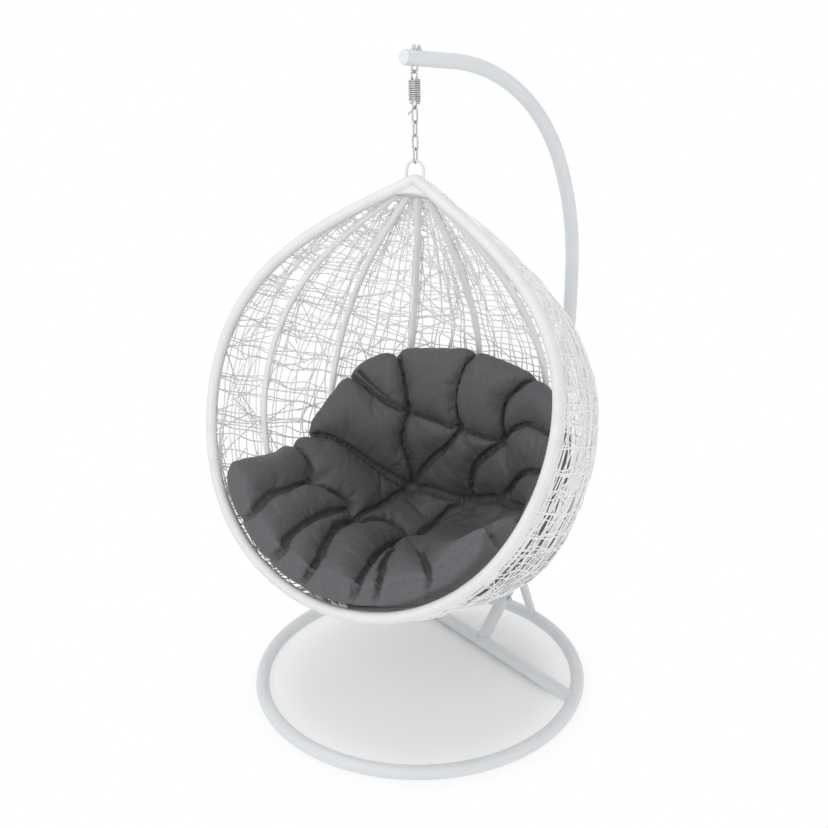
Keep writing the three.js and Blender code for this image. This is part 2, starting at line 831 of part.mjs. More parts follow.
// Hanger hoop: a rod over the apex whose feet are coped into the rim's two sides
const hoopTop = vector(
  0,
  -hoopAboveApex * Math.sin(degrees(podTilt)),
  hoopAboveApex * Math.cos(degrees(podTilt)),
);
const hoopFootZ = -belowApex(solveT(halfWidthAt, hoopHalfWidth));
const hoopDown = vector(0, 0, hoopFootZ).sub(hoopTop).normalize();
const hoopCentre = along(hoopTop, hoopDown, hoopHalfWidth);
const hoopSteps = 10;
const hoopArc = range(hoopSteps + 1).map((i) => {
  const angle = (i * Math.PI) / hoopSteps;
  const sideways = along(hoopCentre, unitX, hoopHalfWidth * Math.cos(angle));
  return along(sideways, hoopDown, -hoopHalfWidth * Math.sin(angle));
});
const hoopPoints = [
  vector(hoopHalfWidth, 0, hoopFootZ),
  ...hoopArc,
  vector(-hoopHalfWidth, 0, hoopFootZ),
];
const hoopOf = (radius) =>
  sweep(hoopPoints, roundSection(radius, tubeSides), hoopDown.clone().cross(unitX));
addPiece(pod, "hanger_hoop", hoopOf(hoopRadius).subtract(rimCutter), "powderCoat");
const hoopCutter = hoopOf(clear(hoopRadius));

// Apex crown: a gusset plate between the rim's sides under the apex
const crownT = solveT(belowApex, crownDepth);
const crownOutline = new THREE.Shape([
  new THREE.Vector2(0, apexCentre.z + apexBend),
  new THREE.Vector2(-halfWidthAt(crownT), -crownDepth),
  new THREE.Vector2(halfWidthAt(crownT), -crownDepth),
]);

function crownOf(thickness) {
  const plate = new THREE.ExtrudeGeometry(crownOutline, { depth: thickness, bevelEnabled: false });
  plate.translate(0, 0, -thickness / 2);
  plate.rotateX(Math.PI / 2);
  return solidFrom(plate);
}

const crown = crownOf(crownThickness).subtract(rimCutter).subtract(hoopCutter);
addPiece(pod, "apex_crown", crown, "powderCoat");

// Ribs: each follows the surface just inside the weave, and is coped to what is there
// before it
const stepT = (step) => {
  const share = step / frameSteps;
  return Math.PI * (share + stepSkewShare * Math.sin(Math.PI * share));
};
const weaveMiddle = rimRadius - weaveThickness / 2 - 2 * gap;
const ribInset = weaveMiddle - weaveThickness / 2 - ribRadius - weaveOverRibs;
const ribSteps = [
  ribStartShare * frameSteps,
  ...range(frameSteps - 1).map((i) => i + 1),
  ribEndShare * frameSteps,
];

function ribOf(angle, radius) {
  const points = ribSteps.map((step) => podOffset(stepT(step), angle, ribInset));
  const outward = (i) => podNormal(stepT(ribSteps[i]), angle);
  return sweep(points, roundSection(radius, ribSides), outward);
}

const crownCutter = crownOf(crownThickness + 2 * gap);
const ribCutters = [];
ribAngles.forEach((angle) => {
  let solid = ribOf(angle, ribRadius);
  for (const cutter of [rimCutter, crownCutter, hoopCutter, ...ribCutters]) {
    solid = solid.subtract(cutter);
  }
  ribCutters.push(ribOf(angle, clear(ribRadius, ribSides)));
  const order = ribAngles.slice().sort((a, b) => a - b).indexOf(angle) + 1;
  addPiece(pod, "rib_" + order, solid, "wicker");
});

// Weave: an open lattice over the ribs. Lattice corners over a rib stay in line with
// it, and the others wander a little. The scatter is the same in every build: each use
// of it has a number of its own, and gives -1 to 1.
const [rowMix, columnMix, useMix, spread] = scatterMix;
const uses = { step: 1, angle: 2, split: 3, frame: 4, secondFrame: 5 };
const wander = (row, column, use) => {
  const value = Math.sin(row * rowMix + column * columnMix + use * useMix) * spread;
  return (value - Math.floor(value)) * 2 - 1;
};
const columnAngles = [
  ...weaveColumns.slice(1).reverse().map((angle) => -angle),
  ...weaveColumns,
];
const lastColumn = columnAngles.length - 1;
const [firstRow, lastRow] = weaveRows;

function latticePoint(row, column, side) {
  let [step, angle] = [row, columnAngles[column]];
  const inside = row > firstRow && row < lastRow && column > 0 && column < lastColumn;
  if (inside && !ribAngles.includes(angle)) {
    const room = Math.min(
      columnAngles[column + 1] - angle,
      angle - columnAngles[column - 1],
    );
    step += wander(row, column, uses.step) * weaveJitterShare;
    angle += wander(row, column, uses.angle) * weaveJitterShare * room;
  }
  const point = podOffset(stepT(step), angle, weaveMiddle + (side * weaveThickness) / 2);
  if (column === 0 || column === lastColumn) point.y = rimRadius + gap;
  return point;
}

function weaveGeometry() {
  const positions = [];
  const quad = (a, b, c, d) => {
    for (const point of [a, b, c, a, c, d]) positions.push(...point.toArray());
  };
  const frame = (places, share, use) => {
    const [row, column] = places[0];
    const weights = places.map((_, i) => 1 + wander(row + i, column, use) * holeShiftShare);
    const total = weights.reduce((sum, weight) => sum + weight);
    const layers = [1, -1].map((side) => {
      const corners = places.map(([row, column]) => latticePoint(row, column, side));
      const centre = vector(0, 0, 0);
      corners.forEach((corner, i) => centre.addScaledVector(corner, weights[i] / total));
      const hole = corners.map((corner) => centre.clone().lerp(corner, share));
      return { corners, hole };
    });
    places.forEach((_, i) => {
      const next = (i + 1) % places.length;
      const [outer, inner] = layers;
      quad(outer.corners[i], outer.corners[next], outer.hole[next], outer.hole[i]);
      quad(inner.corners[next], inner.corners[i], inner.hole[i], inner.hole[next]);
      quad(outer.hole[i], outer.hole[next], inner.hole[next], inner.hole[i]);
    });
  };
  const wall = (a, b) =>
    quad(latticePoint(...a, 1), latticePoint(...a, -1), latticePoint(...b, -1), latticePoint(...b, 1));
  for (let row = firstRow; row < lastRow; row++) {
    for (let column = 0; column < lastColumn; column++) {
      const places = [
        [row, column],
        [row, column + 1],
        [row + 1, column + 1],
        [row + 1, column],
      ];
      const corners = places.map((place) => latticePoint(...place, 1));
      const width = Math.min(corners[0].distanceTo(corners[1]), corners[3].distanceTo(corners[2]));
      if (width < solidCellWidth) {
        quad(...corners);
        quad(...places.map((place) => latticePoint(...place, -1)).reverse());
      } else if (wander(row, column, uses.split) < splitBelow) {
        frame([places[0], places[1], places[2]], splitHoleShare, uses.frame);
        frame([places[0], places[2], places[3]], splitHoleShare, uses.secondFrame);
      } else {
        frame(places, weaveHoleShare, uses.frame);
      }
    }
  }
  for (let column = 0; column < lastColumn; column++) {
    wall([firstRow, column], [firstRow, column + 1]);
    wall([lastRow, column + 1], [lastRow, column]);
  }
  for (let row = firstRow; row < lastRow; row++) {
    wall([row + 1, 0], [row, 0]);
    wall([row, lastColumn], [row + 1, lastColumn]);
  }
  const geometry = new THREE.BufferGeometry();
  geometry.setAttribute("position", new THREE.Float32BufferAttribute(positions, 3));
  return geometry;
}

addPiece(pod, "weave_shell", solidFrom(weaveGeometry()), "wicker");

// Cushion. Its back lies on the ribs' inner sides, found along rays, and the ribs press
// grooves into it.
const raysFrom = vector(0, raysDepth, -raysBelowApex);
const raysAxis = vector(0, seatDepth, -seatBelowApex).sub(raysFrom).normalize();
const raysUp = unitX.clone().cross(raysAxis);
const wallInset = ribRadius - ribInset - cushionPressed;

function rayDirection(away, round) {
  const sideways = raysUp.clone().multiplyScalar(Math.cos(round));
  sideways.addScaledVector(unitX, Math.sin(round));
  return raysAxis.clone().multiplyScalar(Math.cos(away)).addScaledVector(sideways, Math.sin(away));
}

// Place of a point on the pod's own grid. In front of the mouth the pod counts as a
// straight sleeve.
function gridPlace(point) {
  const t = Math.acos(THREE.MathUtils.clamp(1 + (2 * point.z) / mouthHeight, -1, 1));
  const sideways = (Math.abs(point.x) / halfWidthAt(t)) ** sectionExponent;
  const deep = (Math.max(point.y, 0) / depthAt(t)) ** sectionExponent;
  const angle = THREE.MathUtils.radToDeg(Math.atan2(Math.sqrt(sideways), Math.sqrt(deep)));
  const size = point.z > -mouthHeight ? sideways + deep : Infinity;
  return { t, angle: angle * Math.sign(point.x), size };
}

// Distance along a ray to the surface at the ribs' inner sides
function wallDistance(direction) {
  let [inside, outside] = [0, mouthHeight];
  for (let i = 0; i < halvings; i++) {
    const middle = (inside + outside) / 2;
    if (gridPlace(along(raysFrom, direction, middle)).size < 1) inside = middle;
    else outside = middle;
  }
  const { t, angle } = gridPlace(along(raysFrom, direction, inside));
  return inside - wallInset / Math.max(direction.dot(podNormal(t, angle)), leastWallSlope);
}

const onRoundMap = (share, round) =>
  vector(Math.sin(round), Math.cos(round), 0).multiplyScalar(share * cushionReach);
const tufts = tuftShares.map((share, i) => onRoundMap(share, degrees(tuftAngles[i])));
const creases = creaseShares.map(
  (shares, i) =>
    new THREE.Line3(...shares.map((share, k) => onRoundMap(share, degrees(creaseAngles[i][k])))),
);

// Depth of the creases and tufts in the seat face
function pressedIn(share, round) {
  const place = onRoundMap(share, round);
  const bump = (distance, spread) => Math.exp(-((distance / spread) ** 2));
  const nearest = (crease) => crease.closestPointToPoint(place, true, vector()).distanceTo(place);
  return Math.max(
    ...creases.map((crease) => creaseDepth * bump(nearest(crease), creaseSpread)),
    ...tufts.map((tuft) => tuftDepth * bump(tuft.distanceTo(place), tuftSpread)),
  );
}

function edgeAngle(round) {
  const turn = Math.acos(Math.cos(round)) / Math.PI;
  const place = turn * (cushionEdgeAngles.length - 1);
  const first = Math.min(Math.floor(place), cushionEdgeAngles.length - 2);
  const [low, high] = cushionEdgeAngles.slice(first, first + 2);
  const notch = (edgeNotchShare * pressedIn(1, round)) / creaseDepth;
  return degrees(THREE.MathUtils.lerp(low, high, place - first)) * (1 - notch);
}

// How far forward the cushion may come: behind the rim's tube where that is in the way,
// and out past the mouth inside it
const rimReach = rimRadius + cushionRimGap;
const rimLine = range(rimLineSteps + 1).map((i) =>
  podPoint(Math.max((i * Math.PI) / rimLineSteps, apexT), 90).setY(0),
);
function frontLimit(point) {
  const flat = vector(Math.abs(point.x), 0, point.z);
  const fromRim = Math.min(...rimLine.map((place) => place.distanceTo(flat)));
  if (fromRim < rimReach) return Math.sqrt(rimReach ** 2 - fromRim ** 2);
  return -Math.min(fromRim - rimReach, cushionOverhang);
}

function cushionSolid() {
  const positions = [];
  const triangles = [];
  const rings = [];
  const put = (share, round, face) => {
    const direction = rayDirection(edgeAngle(round) * share, round);
    const wall = wallDistance(direction);
    const fullness = Math.sqrt(1 - share ** edgeRoundness);
    const crown = cushionCrown * (1 - share ** 2);
    const front = cushionThickness + crown - pressedIn(share, round);
    const middle = cushionThickness / 2;
    const depth = face === "front" ? middle + (front - middle) * fullness : middle * (1 - fullness);
    const point = along(raysFrom, direction, wall - depth);
    point.y = Math.max(point.y, frontLimit(point));
    positions.push(...point.toArray());
    return positions.length / 3 - 1;
  };
  const ringOf = (share, face) =>
    range(cushionRays).map((k) => put(share, (k * 2 * Math.PI) / cushionRays, face));
  const centreFront = put(0, 0, "front");
  for (let i = 1; i <= cushionRings; i++) rings.push(ringOf(i / cushionRings, "front"));
  for (let i = backRings - 1; i >= 1; i--) rings.push(ringOf(i / backRings, "back"));
  const centreBack = put(0, 0, "back");
  for (let k = 0; k < cushionRays; k++) {
    const next = (k + 1) % cushionRays;
    triangles.push(centreFront, rings[0][next], rings[0][k]);
    for (let i = 0; i < rings.length - 1; i++) {
      triangles.push(rings[i][k], rings[i][next], rings[i + 1][k]);
      triangles.push(rings[i][next], rings[i + 1][next], rings[i + 1][k]);
    }
    const lastRing = rings[rings.length - 1];
    triangles.push(centreBack, lastRing[k], lastRing[next]);
  }
  return solidOf(positions, triangles);
}

let cushion = cushionSolid();
for (const cutter of ribCutters) cushion = cushion.subtract(cutter);
addPiece(pod, "cushion", cushion, "fabric");

export default chair;
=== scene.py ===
# %% [markdown]
# # Hanging pod chair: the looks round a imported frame
#
# The chair is a wicker pod on a short chain, under the arm of a bowed steel stand.
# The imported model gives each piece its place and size. This lesson gives each piece
# the surface of the real one: bent tube with powder coat, wicker wound and woven by
# hand, zinc-plated wire, and a tufted cushion.

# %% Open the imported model
import math

import bpy
import numpy as np
from mathutils import Matrix, Vector, noise
from mathutils.bvhtree import BVHTree
from mathutils.kdtree import KDTree


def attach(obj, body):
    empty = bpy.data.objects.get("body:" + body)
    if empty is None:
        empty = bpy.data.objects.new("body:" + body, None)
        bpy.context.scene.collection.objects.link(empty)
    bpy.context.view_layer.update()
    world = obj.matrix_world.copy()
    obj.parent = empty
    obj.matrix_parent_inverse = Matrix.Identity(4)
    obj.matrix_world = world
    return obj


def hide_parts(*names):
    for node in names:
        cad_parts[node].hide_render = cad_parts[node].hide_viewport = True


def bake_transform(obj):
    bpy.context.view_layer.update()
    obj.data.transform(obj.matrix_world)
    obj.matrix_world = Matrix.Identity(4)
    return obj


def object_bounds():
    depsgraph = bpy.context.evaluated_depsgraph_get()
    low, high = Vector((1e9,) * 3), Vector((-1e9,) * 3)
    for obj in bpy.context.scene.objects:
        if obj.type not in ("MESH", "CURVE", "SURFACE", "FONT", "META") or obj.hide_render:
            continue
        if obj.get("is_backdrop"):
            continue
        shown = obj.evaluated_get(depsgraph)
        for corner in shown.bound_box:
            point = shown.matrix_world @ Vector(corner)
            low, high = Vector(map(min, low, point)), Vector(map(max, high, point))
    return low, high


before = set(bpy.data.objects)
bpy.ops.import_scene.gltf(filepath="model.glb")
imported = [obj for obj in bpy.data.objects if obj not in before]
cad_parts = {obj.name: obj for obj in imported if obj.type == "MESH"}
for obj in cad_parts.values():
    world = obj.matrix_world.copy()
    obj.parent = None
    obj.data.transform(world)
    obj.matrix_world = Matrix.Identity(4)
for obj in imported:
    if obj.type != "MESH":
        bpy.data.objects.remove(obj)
cad_low, cad_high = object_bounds()
MM = 0.001


def add_object(name, data):
    """A new object of this data, in the scene."""
    made = bpy.data.objects.new(name, data)
    bpy.context.scene.collection.objects.link(made)
    return made


# %% [markdown]
# ## Camera
#
# The camera stands to the right of the chair and looks down at it by 22 degrees. Its
# place comes from the ellipse of the foot ring and from the plumb line of the chain.
# A 50 mm lens on a 36 mm sensor sees the object as the photograph does.

# %% Camera
CAMERA_PLACE = Vector((2.477339, -2.212401, 2.168025))
CAMERA_RIGHT = Vector((0.620822, 0.783824, -0.014155))
CAMERA_UP = Vector((-0.282409, 0.240451, 0.92867))
CAMERA_AHEAD = Vector((-0.731317, 0.572542, -0.370636))

camera = add_object("camera", bpy.data.cameras.new("camera"))
camera.data.sensor_width = 36
camera.data.lens = 1150 / 828 * 36  # focal length in pixels over the image's width
camera.data.clip_end = 200
turn = Matrix((CAMERA_RIGHT, CAMERA_UP, -CAMERA_AHEAD)).transposed()
camera.matrix_world = Matrix.Translation(CAMERA_PLACE) @ turn.to_4x4()
bpy.context.scene.camera = camera
print("lens", round(camera.data.lens, 2), "mm")

# %% [markdown]
# ## Materials from nodes
#
# Every finish is a Principled shader whose colour, roughness and bump come from
# procedural textures. The textures read object coordinates. Each object sits at the
# origin, so those are metres on the chair, and a pattern keeps its real size.

# %% Helpers for nodes
def colour(code):
    """An sRGB hex value as linear RGBA."""
    parts = [int(code[i : i + 2], 16) / 255 for i in (1, 3, 5)]
    return [p / 12.92 if p <= 0.04045 else ((p + 0.055) / 1.055) ** 2.4 for p in parts] + [1]


def add_node(tree, kind, inputs=None, **settings):
    """Adds a node, sets its properties, and sets or links its inputs."""
    made = tree.nodes.new(kind)
    for name, value in settings.items():
        setattr(made, name, value)
    for name, value in (inputs or {}).items():
        if isinstance(value, bpy.types.NodeSocket):
            tree.links.new(value, made.inputs[name])
        else:
            made.inputs[name].default_value = value
    return made


def new_material(name):
    """An empty material with its tree, shader and object coordinates."""
    made = bpy.data.materials.new(name)
    made.use_nodes = True
    tree = made.node_tree
    tree.nodes.clear()
    shader = add_node(tree, "ShaderNodeBsdfPrincipled")
    add_node(tree, "ShaderNodeOutputMaterial", {"Surface": shader.outputs["BSDF"]})
    place = add_node(tree, "ShaderNodeTexCoord").outputs["Object"]
    return made, tree, shader, place


def per_metre(size_mm):
    """The scale that gives a texture features of this size in millimetres."""
    return 1000 / size_mm


def noise_of(tree, place, size_mm, detail):
    """Noise with features of this size in millimetres."""
    inputs = {"Vector": place, "Scale": per_metre(size_mm), "Detail": detail}
    return add_node(tree, "ShaderNodeTexNoise", inputs).outputs["Fac"]


def set_colour(tree, shader, value, dark, light):
    """The base colour runs from dark to light with the value."""
    inputs = {"Factor": value, "A": colour(dark), "B": colour(light)}
    tint = add_node(tree, "ShaderNodeMix", inputs, data_type="RGBA")
    tree.links.new(tint.outputs["Result"], shader.inputs["Base Color"])


def set_roughness(tree, shader, value, low, high):
    """The roughness runs from low to high with the value."""
    inputs = {"Value": value, "To Min": low, "To Max": high}
    spread = add_node(tree, "ShaderNodeMapRange", inputs)
    tree.links.new(spread.outputs["Result"], shader.inputs["Roughness"])


def set_bump(tree, shader, height, depth_mm, strength):
    """Fine relief of this depth in millimetres."""
    inputs = {"Height": height, "Distance": depth_mm * MM, "Strength": strength}
    bump = add_node(tree, "ShaderNodeBump", inputs)
    tree.links.new(bump.outputs["Normal"], shader.inputs["Normal"])


# %% [markdown]
# ## Powder-coated steel
#
# Dry polyester powder is sprayed on the tube and baked until it flows. It leaves a
# satin film with a slight orange peel, which breaks up each highlight. The peel's
# cells are about 1 mm wide, too fine for this camera, so they are drawn at 4 mm.

# %% Powder-coated steel
def powder_coat(name, dark, light):
    made, tree, shader, place = new_material(name)
    cloud = noise_of(tree, place, 90, 3)
    set_colour(tree, shader, cloud, dark, light)
    set_roughness(tree, shader, cloud, 0.36, 0.48)
    set_bump(tree, shader, noise_of(tree, place, 4, 1), 0.15, 0.35)
    return made


STAND_COAT = powder_coat("powder_coated_steel_grey", "#D3D6D9", "#DDE0E2")
# The ribs' white is the coat's own colour, and it is set lighter still as painted light, to make up for
# the shade the ribs stand in inside the pod.
RIB_COAT_PAINTED_LIGHTER = powder_coat("powder_coated_steel_white_painted_lighter", "#EDEDED", "#F6F6F6")
HOOP_COAT = powder_coat("powder_coated_steel_hoop", "#D9D9D8", "#E3E3E2")
print(STAND_COAT.name, RIB_COAT_PAINTED_LIGHTER.name, HOOP_COAT.name)

# %% [markdown]
# ## Extruded wicker
#
# Outdoor wicker is polyethylene drawn through a die while soft. It has a dull, waxy
# skin with fine lines along it, and its white varies a little from reel to reel.

# %% Extruded polyethylene wicker
def wicker(name, dark, light):
    made, tree, shader, place = new_material(name)
    set_colour(tree, shader, noise_of(tree, place, 55, 2), dark, light)
    shader.inputs["Roughness"].default_value = 0.52
    shader.inputs["IOR"].default_value = 1.51
    set_bump(tree, shader, noise_of(tree, place, 2.5, 2), 0.2, 0.3)
    return made


WICKER = wicker("extruded_polyethylene_wicker", "#DBDAD9", "#E8E7E6")
# The strands' copy of the wicker is painted lighter than the rim's, as painted light that makes up for
# the shade they get inside the pod.
STRAND_PAINTED_LIGHTER = wicker("extruded_polyethylene_strand_painted_lighter", "#ECECEB", "#F7F7F6")
print(WICKER.name, "and", STRAND_PAINTED_LIGHTER.name)

# %% [markdown]
# ## Zinc-plated steel
#
# The chain, spring and bolts are drawn steel wire and bar with a thin bright zinc
# plate. Zinc is a metal with a slightly blue reflection, dulled in patches by
# handling, so its roughness varies.

# %% Zinc-plated steel
ZINC, tree, shader, place = new_material("zinc_plated_steel")
patches = noise_of(tree, place, 9, 4)
set_colour(tree, shader, patches, "#A3A6A9", "#D6D8DA")
set_roughness(tree, shader, patches, 0.24, 0.42)
shader.inputs["Metallic"].default_value = 1.0
print(ZINC.name)

# %% [markdown]
# ## Moulded polyethylene
#
# The plug in the arm's end is injection moulded. Its skin is even and a little
# glossier than the powder coat beside it, with a fine grain from the mould.

# %% Moulded polyethylene
CAP_PLASTIC, tree, shader, place = new_material("moulded_polyethylene")
grain = noise_of(tree, place, 1.5, 2)
set_colour(tree, shader, grain, "#D3D8DA", "#DDE1E3")
set_bump(tree, shader, grain, 0.1, 0.3)
shader.inputs["Roughness"].default_value = 0.38
print(CAP_PLASTIC.name)

# %% [markdown]
# ## Woven polyester
#
# The cushion's cover is a plain weave of charcoal polyester. Its yarns are about
# 0.5 mm apart, so they are drawn at 2.5 mm here, as two crossed sets of waves. The
# fuzz of the yarn's fibres gives a soft edge light, which is the shader's sheen.

# %% Woven polyester
CANVAS, tree, shader, place = new_material("woven_polyester_canvas")
set_colour(tree, shader, noise_of(tree, place, 14, 5), "#4F4F52", "#616165")
shader.inputs["Roughness"].default_value = 0.66
shader.inputs["Sheen Weight"].default_value = 0.05
shader.inputs["Sheen Roughness"].default_value = 0.5
crossed = add_node(tree, "ShaderNodeMath", operation="MAXIMUM")
for i, direction in enumerate("XZ"):
    inputs = {"Vector": place, "Scale": per_metre(2.5) / (2 * math.pi), "Distortion": 0.6}
    yarn = add_node(tree, "ShaderNodeTexWave", inputs, bands_direction=direction)
    tree.links.new(yarn.outputs["Fac"], crossed.inputs[i])
set_bump(tree, shader, crossed.outputs[0], 0.25, 0.35)
print(CANVAS.name)

# %% [markdown]
# ## Tubes
#
# Nearly every piece of this chair is a tube, rod, wire or strand: a round section
# that follows a path. One helper makes them all. At each point of the path it stands
# a ring across the direction of travel, and joins each ring to the next. Its frames
# are carried along the path, so the section doesn't twist.

# %% Paths
def unit(ways):
    """Directions of length 1."""
    return ways / np.linalg.norm(ways, axis=-1, keepdims=True)


def full_turn(count):
    """Angles at equal steps round a circle."""
    return np.arange(count) * 2 * math.pi / count


def lengths_along(points):
    """The length of a path up to each of its points."""
    return np.concatenate([[0], np.cumsum(np.linalg.norm(np.diff(points, axis=0), axis=1))])


def smooth_path(points, spacing, closed=False):
    """Points at equal steps along a path given by close points."""
    points = np.asarray(points, float)
    if closed:
        points = np.vstack([points, points[:1]])
    lengths = lengths_along(points)
    count = max(int(round(lengths[-1] / spacing)), 2)
    places = np.linspace(0, lengths[-1], count + 1)[: count if closed else count + 1]
    return np.stack([np.interp(places, lengths, points[:, k]) for k in range(3)], axis=1)


def directions_along(points, closed):
    """The direction of travel at each point of a path."""
    ahead = np.roll(points, -1, 0) - np.roll(points, 1, 0)
    if not closed:
        ahead[0], ahead[-1] = points[1] - points[0], points[-1] - points[-2]
    return unit(ahead)


def frames_along(points, first_side, closed):
    """Two directions across a path at each of its points, carried without twist."""
    ahead = directions_along(points, closed)
    sides = np.empty_like(points)
    side = np.asarray(first_side, float)
    for i, direction in enumerate(ahead):
        side = unit(side - direction * (side @ direction))
        sides[i] = side
    return sides, np.cross(ahead, sides)


# %% A round section along a path
def bands(count, sides, closed=False):
    """Faces between rings of this many sides. An open row of rings gets end caps."""
    faces = []
    for i in range(count if closed else count - 1):
        a, b = i * sides, (i + 1) % count * sides
        for k in range(sides):
            n = (k + 1) % sides
            faces.append((a + k, a + n, b + n, b + k))
    if not closed:
        faces.append(tuple(range(sides - 1, -1, -1)))
        faces.append(tuple((count - 1) * sides + k for k in range(sides)))
    return faces


def tube_mesh(points, radius, sides, across=None, closed=False):
    """Vertices and faces of a tube. radius is one number, or one per ring and side.
    across gives the section's first direction: one for all, or one at each point."""
    points = np.asarray(points, float)
    count = len(points)
    if across is not None and np.ndim(across) == 2:
        ahead = directions_along(points, closed)
        first = unit(across - ahead * (across * ahead).sum(1)[:, None])
        second = np.cross(ahead, first)
    else:
        start = across if across is not None else (0.31, 0.17, 0.93)
        first, second = frames_along(points, start, closed)
    angles = full_turn(sides)
    reach = np.broadcast_to(np.asarray(radius, float), (count, sides))
    rings = (
        points[:, None]
        + first[:, None] * (reach * np.cos(angles))[..., None]
        + second[:, None] * (reach * np.sin(angles))[..., None]
    )
    return rings.reshape(-1, 3), bands(count, sides, closed)


def joined(parts):
    """Several meshes as one list of vertices and one of faces."""
    vertices, faces, start = [], [], 0
    for part_vertices, part_faces in parts:
        vertices.append(np.asarray(part_vertices, float))
        faces += [tuple(index + start for index in face) for face in part_faces]
        start += len(part_vertices)
    return np.vstack(vertices), faces


def add_piece(name, mesh, material, body, replaces=(), smooth_angle=40):
    """A mesh object with a finish, on a CAD body if one is named, that may stand for CAD nodes."""
    data = bpy.data.meshes.new(name)
    data.from_pydata(mesh[0].tolist(), [], mesh[1])
    data.materials.append(material)
    made = add_object(name, data)
    data.shade_smooth()
    data.set_sharp_from_angle(angle=math.radians(smooth_angle))
    if body:
        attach(made, body)
    if replaces:
        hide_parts(*replaces)
    return made


# %% [markdown]
# ## The stand
#
# The stand is 42 mm steel tube, rolled into a ring and bent into a bow. The packed
# model has it with twelve flats, so here each tube is swept again with a round
# section along the same path: straights, and arcs from one lean to the next.

# %% The stand's paths
TUBE_RADIUS = 21 * MM
FOOT_HEIGHT = TUBE_RADIUS * math.cos(math.pi / 12)
RING_RADIUS = 505 * MM
CROSSBAR_FROM_CENTRE = 265 * MM
STUB_LENGTH = 183 * MM
SPIGOT_RADIUS, SPIGOT_LENGTH, TUBE_WALL, SEAM_GAP = 18.7 * MM, 60 * MM, 2 * MM, 0.3 * MM
# The post leans back by 38 degrees at first. Then come straights with their length in
# mm, and arcs with their radius in mm and the lean in degrees that they end with.
POST_LEAN, ARM_LEAN = 38, -83
POST_MOVES = [
    ("straight", 195),
    (400, 24),
    (2300, 0),
    ("straight", 55),
    (842, -24),
    (530, -71),
    (514, ARM_LEAN),
    ("straight", 168),
]


def leaning(lean):
    """The direction that leans back from upright by an angle in radians."""
    return np.array([0, math.sin(lean), math.cos(lean)])


def post_stations():
    """The post's axis from the crossbar to the arm's tip, at close points."""
    points, lean = [np.array([0, 0, FOOT_HEIGHT])], math.radians(POST_LEAN)
    for first, second in POST_MOVES:
        start = points[-1]
        if first == "straight":
            points += [start + leaning(lean) * second * MM * share for share in (0.25, 0.5, 0.75, 1)]
            continue
        end = math.radians(second)
        steps = max(int(abs(lean - end) / math.radians(1.5)), 2)
        for here in lean + (end - lean) * np.arange(1, steps + 1) / steps:
            bend = [0, math.cos(here) - math.cos(lean), math.sin(lean) - math.sin(here)]
            points.append(start + first * MM * np.array(bend))
        lean = end
    return np.array(points)


post_points = post_stations()
post_lengths = lengths_along(post_points)


def post_at(length):
    """A point of the post's axis at a length from the crossbar."""
    return np.array([np.interp(length, post_lengths, post_points[:, k]) for k in range(3)])


def post_part(start, end):
    """The post's axis between two lengths, at 12 mm steps."""
    return np.array([post_at(s) for s in np.linspace(start, end, int((end - start) / 0.012) + 2)])


joint_length = float(np.interp(950 * MM, post_points[:200, 2], post_lengths[:200]))
arm_tip = post_points[-1]
print("post", round(post_lengths[-1], 3), "m, joint at", round(joint_length, 3), "m")

# %% [markdown]
# The ring and the crossbar lie on the floor, so their section is flat underneath. The
# stub is an open socket with a wall, and the lower post's spigot stands in it. The
# post is in two lengths, with a fine seam where they meet.

# %% Ring, crossbar, stub and post
SIDES = 28
circle = np.linspace(0, 2 * math.pi, 241)[:-1]
ring_x, ring_y = RING_RADIUS * np.cos(circle), RING_RADIUS * np.sin(circle) - CROSSBAR_FROM_CENTRE
ring_path = np.stack([ring_x, ring_y, np.full(240, FOOT_HEIGHT)], axis=1)
crossbar_half = math.sqrt(RING_RADIUS**2 - CROSSBAR_FROM_CENTRE**2)
bar_path = np.array([[x, 0, FOOT_HEIGHT] for x in np.linspace(-crossbar_half, crossbar_half, 9)])
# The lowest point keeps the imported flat's height, so the ring rests on the floor.
straight_down = np.cos(full_turn(SIDES))
foot_section = np.minimum(TUBE_RADIUS, FOOT_HEIGHT / np.maximum(straight_down, 1e-6))


def foot_tube(path, closed):
    across = np.tile([0, 0, -1.0], (len(path), 1))
    return tube_mesh(path, foot_section, SIDES, across, closed)


def post_tube(path, radius=TUBE_RADIUS):
    return tube_mesh(path, radius, SIDES, (1, 0, 0))


stub_path = np.array([post_at(s) for s in np.linspace(0.012, STUB_LENGTH, 8)])
stub_inner = post_tube(stub_path, TUBE_RADIUS - TUBE_WALL)[0].reshape(-1, SIDES, 3)
stub_rings = np.vstack([post_tube(stub_path)[0].reshape(-1, SIDES, 3), stub_inner[::-1]])
spigot_path = np.array([post_at(STUB_LENGTH - SPIGOT_LENGTH), post_at(STUB_LENGTH + 2 * MM)])
lower_path = post_part(STUB_LENGTH + SEAM_GAP, joint_length)
lower_post = joined([post_tube(lower_path), post_tube(spigot_path, SPIGOT_RADIUS)])
for name, mesh, node in (
    ("ring_tube", foot_tube(ring_path, closed=True), "base_ring"),
    ("crossbar_tube", foot_tube(bar_path, closed=False), "crossbar"),
    ("stub_socket", (stub_rings.reshape(-1, 3), bands(16, SIDES, closed=True)), "stub_tube"),
    ("lower_post", lower_post, "post_lower"),
    ("upper_post", post_tube(post_part(joint_length + SEAM_GAP, post_lengths[-1])), "post_upper"),
):
    add_piece(name, mesh, STAND_COAT, "stand", [node])
print("crossbar", round(2 * crossbar_half, 3), "m")

# %% [markdown]
# The stay's upper end straddles a lug on the post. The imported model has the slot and
# the lug, so those two nodes stay as they are and only take the coat.

